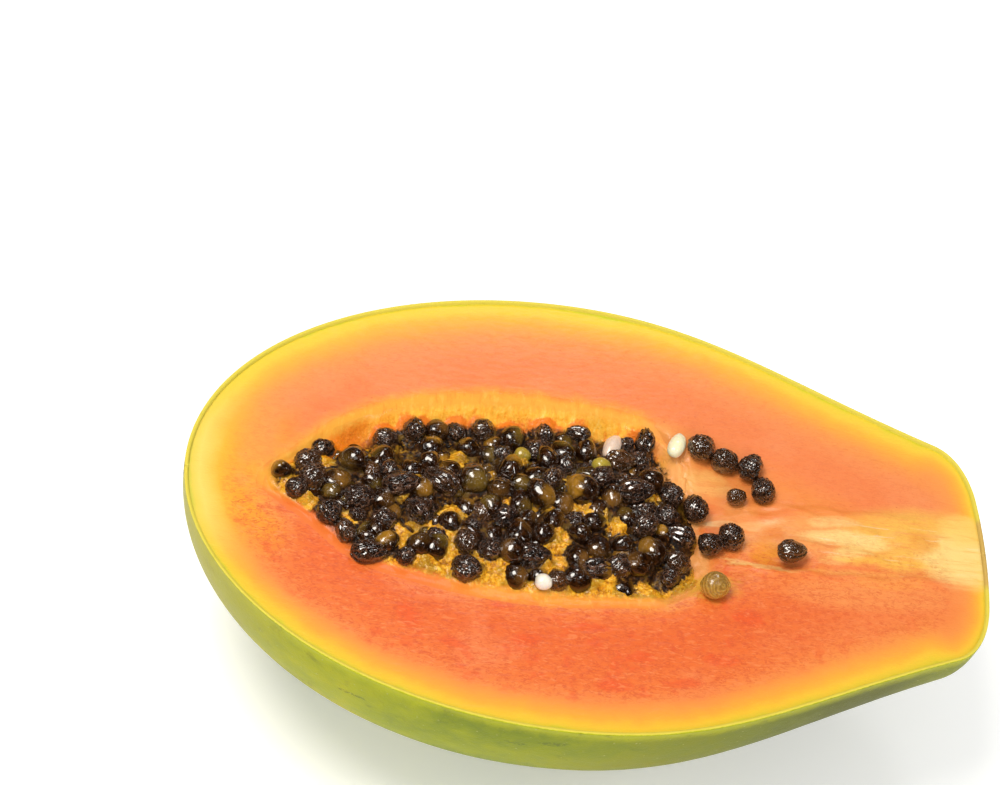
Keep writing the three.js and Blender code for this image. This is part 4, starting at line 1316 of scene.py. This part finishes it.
def makePulp():
    # Bed of rings about the cavity's middle: the heap's outline, sunk, climbing up the seeds, with round
    # lumps and grains on it; it leaves the rim as a gentle slope and is closed underneath
    s, soft = pulpShape, cavity["rimSoftness"]
    angle = np.arange(s["columns"]) / s["columns"] * 2 * np.pi
    rayX, rayY = np.cos(angle), np.sin(angle)
    rimReach, _ = rimTowards(middleX + rayX * 20, middleY + rayY * 20)
    share = np.linspace(0.01, 1, s["rows"])[:, None] ** s["rowSpread"]
    reach = share * (rimReach + s["overlap"])
    x, y = middleX + rayX * reach, middleY + rayY * reach
    flat = np.stack([x, y, 0 * x], -1)
    fromRim = rimReach - reach
    sway = roughNoise(flat * 0.3, 77) - 0.5
    ragged = roughNoise(flat * 0.75, 79) - 0.5
    farSide = farShare(x, y)
    bank = np.where(fromRim > 0, bankShare(x, y), farSide)
    # golden where lumps, the near rim's fringe and a few seams are
    lump = lumpShare(x, y, flat)
    fringe = smoothStep(4.6, 1.0, fromRim + 3.4 * sway) * smoothStep(1, -8, y) * smoothStep(-44, -36, x)
    seams = smoothStep(0.54, 0.66, roughNoise(flat * 0.21 + 5, 82)) * smoothStep(8, 2, x)
    golden = np.maximum(lump, np.maximum(fringe, 0.7 * seams * (1 - farSide)))
    # the bed between the seeds
    seeds = np.vstack([lattice, placedByHand, paleOnes])
    gap = gapTo(seeds, x, y, seeds[:, 3] * seedSize["halfWidth"] * s["seedSide"])
    ridges = roughNoise(flat * [0.95, 0.2, 1], 85) - 0.5
    grains = 1 - np.clip(cellNoise(flat * 1.15, 81)[0], 0, 1)
    strings = np.abs(swing(flat * [0.8, 0.5, 1], 83))
    height = heapHeight(x, y) - s["sink"] * (1 - bank) - sway + 0.5 * bank * ridges
    height += s["climb"] * smoothStep(s["climbWidth"], 0, gap) * (1 - 0.6 * bank)
    raised = height + s["lumpRise"] * lump * (1 + 0.6 * ragged)
    height = np.minimum(raised, np.maximum(fruit["cutHeight"] + s["lumpTop"], height))
    height += (s["grain"] * (grains - 0.4) * (0.4 + 0.6 * golden) - 0.3 * strings) * (1 - 0.85 * bank)
    # it leaves the rounded flesh just outside the rim
    floor = fleshHeight(x, y, soft)
    edgeReach = rimReach + s["leave"]
    atEdge = fleshHeight(middleX + rayX * edgeReach, middleY + rayY * edgeReach, soft)
    joinSlope = mix(s["nearSlope"], s["joinSlope"], smoothStep(-2, 8, y))
    within = fromRim + s["leave"]
    eased = np.sqrt(within ** 2 + s["ease"] ** 2) - s["ease"]
    join = np.where(within > 0, np.maximum(floor, atEdge - joinSlope * eased), floor) + s["cover"]
    join += fleshRelief(x, y, floor) * smoothStep(0.2, -1.2, fromRim)
    height = mix(join, height, smoothStep(0.2, s["joinWidth"], fromRim + 1.2 * ragged))
    height -= s["dip"] * smoothStep(s["dipWidth"], 0, fromRim + s["overlap"])
    stemSide = smoothStep(12, 18, middleX + rayX * rimReach)
    height -= s["stemDip"] * stemSide * smoothStep(2.6, 0.6, fromRim + 1.2 * ragged)
    top = np.stack([x, y, height], -1)
    under = mix(np.array([middleX, middleY, 0]), top[::-6] * [1, 1, 0] + [0, 0, s["underside"]],
                np.array([0.93, 0.93, 1]))
    # painted shade round each seed that stands on the far bank
    halo = sum(np.exp(-(np.hypot(x - seed[0], (y - seed[1]) * 0.8 - 0.8) / 3.4) ** 4)
               for seed in placedByHand if seed[1] > 11)
    facts = {"golden": golden, "fromRim": fromRim, "grains": grains, "bank": bank, "gap": gap,
             "halo": np.clip(halo, 0, 1)}
    closed = {name: np.concatenate([values, 0 * values[::-6]]) for name, values in facts.items()}
    return putMesh("seedPulp", *skinWithPoles(np.concatenate([top, under]), closed))


def pulpFinish():
    look = Finish("seedPulp", fleshDim)
    x, y, fromRim = look.x, look.y, look.fact("fromRim")
    edgeGold = look.blend((244, 122, 52), rimGold(look), rimShare(look, 0 - fromRim))
    look.dim = 0.86
    golden, grains, bank = look.fact("golden"), look.fact("grains"), look.fact("bank")
    gap, halo = look.fact("gap"), look.fact("halo")
    fine = look.noise(1.4, 5, 0.62, 0.4)
    broad = look.noise(0.35, 3, 0.55)
    crumbs = look.noise(2.6, 3, 0.6)
    # pulp between the seeds: golden on the lumps; dark gel in the hollows, painted darker there as shade
    # the golden ramp is lighter on the grains' tops: painted light and shade that follow the grains
    bright = look.ramp(fine + grains.sway(0.35), 0.1, 0.9, [
        (0.2, (124, 74, 8)), (0.38, (196, 126, 18)), (0.56, (240, 172, 36)), (0.82, (254, 214, 92))])
    bright = look.layers(bright, [
        ((146, 112, 28), broad.step(0.46, 0.58) * 0.6),
        ((112, 68, 8), crumbs.step(0.42, 0.3) * 0.6),
        ((255, 224, 128), crumbs.step(0.6, 0.7) * 0.6),
    ])
    dark = look.layers((22, 9, 2), [
        ((94, 53, 12), (fine * 0.5 + broad * 0.5).step(0.42, 0.62)),
        ((108, 84, 24), broad.step(0.52, 0.64) * 0.6),
    ])
    # golden share, held back right beside the seeds as painted contact shade
    lit = (golden + fine.sway(1.1) - gap.step(0.9, -0.3) * 0.35).step(0.0, 0.46)
    # the bank along the far wall, with painted orange shade round its seeds and close beside them
    slope = look.noise((0.9, 0.14, 0.4), 4, 0.6, 0.3)
    shadeNearSeeds = halo * bank.step(0.75, 0.35) + gap.step(1.8, 0.2) * 0.5
    shadeNearSeeds = (shadeNearSeeds + broad.sway(1.8) + fine.sway(0.8)).step(0.3, 1.0)
    bankColour = look.ramp(slope, 0.25, 0.75, [
        (0.3, (240, 148, 34)), (0.45, (250, 172, 46)), (0.58, (253, 188, 64)), (0.72, (254, 208, 106))])
    bankColour = look.layers(bankColour, [
        ((230, 110, 14), shadeNearSeeds * 0.85),
        ((251, 172, 96), (x + broad.sway(8)).step(11, 18)),
    ])
    hollow = x.step(-40, -48) * y.step(1.5, 4.5) * (gap + fine.sway(1)).step(0.2, 0.9)
    colour = look.layers(dark, [
        (bright, lit),
        (bankColour, (bank + fine.sway(0.4)).step(0.04, 0.26)),
        ((236, 124, 20), hollow * fromRim.step(8, 5) * 0.9),
        (edgeGold, (fromRim + fine.sway(2.4)).step(2.4, 0.6)),
    ])
    within = fromRim.step(0.8, 3.0)
    return look.shade(colour, {
        "Roughness": 0.36 + 0.16 * fine - (0.22 * within * lit),
        "Normal": look.bump(fine * (0.25 + 0.75 * within), 0.0006, 0.6),
        "IOR": 1.34,
        "Coat Weight": 0.12 + 0.25 * (within * lit),
        "Coat Roughness": 0.14,
        "Subsurface Weight": 0.08,
        "Subsurface Radius": fleshScatter,
    })


finished(makePulp(), pulpFinish(), "seed_heap")

# Stage, with its sizes and distances in metres

stage = {
    "floorHalf": 3,
    "floorColour": (250, 250, 250),
    "floorGlow": 0.16,  # a lit table, so that the shadow stays pale
    "worldStrength": 0.22,
}
# Round softboxes aimed at the cut face: the direction they stand in, distance, size and power
softboxes = {
    "key": ((-0.4125, 0.0044, 0.9109), 0.7, 0.36, 4.1),
    "rightGlint": ((0.55, -0.3, 0.8), 0.7, 0.13, 0.4),
    "farGlint": ((0.15, 0.7, 0.7), 0.7, 0.13, 0.4),
    "sky": ((0, 0.02, 1), 1.5, 6, 40),
    "fill": ((0.3, -1.2, 0.5), 1.5, 1.6, 12),
}
unmirrored = ("sky", "fill")  # these show in no reflection
keyColour = (1.0, 0.955, 0.88)


def makeFloor():
    half = stage["floorHalf"]
    points = [(-half, -half, 0), (half, -half, 0), (half, half, 0), (-half, half, 0)]
    mesh = bpy.data.meshes.new("floor")
    mesh.from_pydata(points, [], [(0, 1, 2, 3)])
    floor = bpy.data.objects.new("floor", mesh)
    bpy.context.scene.collection.objects.link(floor)
    look = Finish("paleFloor")
    mesh.materials.append(look.shade(paint(stage["floorColour"]), {
        "Roughness": 0.8,
        "Specular IOR Level": 0.2,
        "Emission Color": (1.0, 1.0, 1.0, 1.0),
        "Emission Strength": stage["floorGlow"],
    }))


def makeSoftbox(name, direction, distance, size, power):
    data = bpy.data.lights.new(name, "AREA")
    data.shape = "DISK"
    data.size = size
    data.energy = power
    if name == "key":
        data.color = keyColour
    away = np.array(direction) / np.linalg.norm(direction)
    side = np.cross([0.01, 1, 0], away)
    side = side / np.linalg.norm(side)
    spot = away * distance + [0, 0, fruit["cutHeight"] * mm]
    light = stood(data, side, np.cross(away, side), away, spot)
    light.visible_glossy = name not in unmirrored


makeFloor()
for name, settings in softboxes.items():
    makeSoftbox(name, *settings)
world = bpy.data.worlds.new("studio")
bpy.context.scene.world = world
world.use_nodes = True
background = world.node_tree.nodes["Background"]
background.inputs["Color"].default_value = (1, 1, 1, 1)
background.inputs["Strength"].default_value = stage["worldStrength"]
world.cycles_visibility.glossy = False
print("stage set")
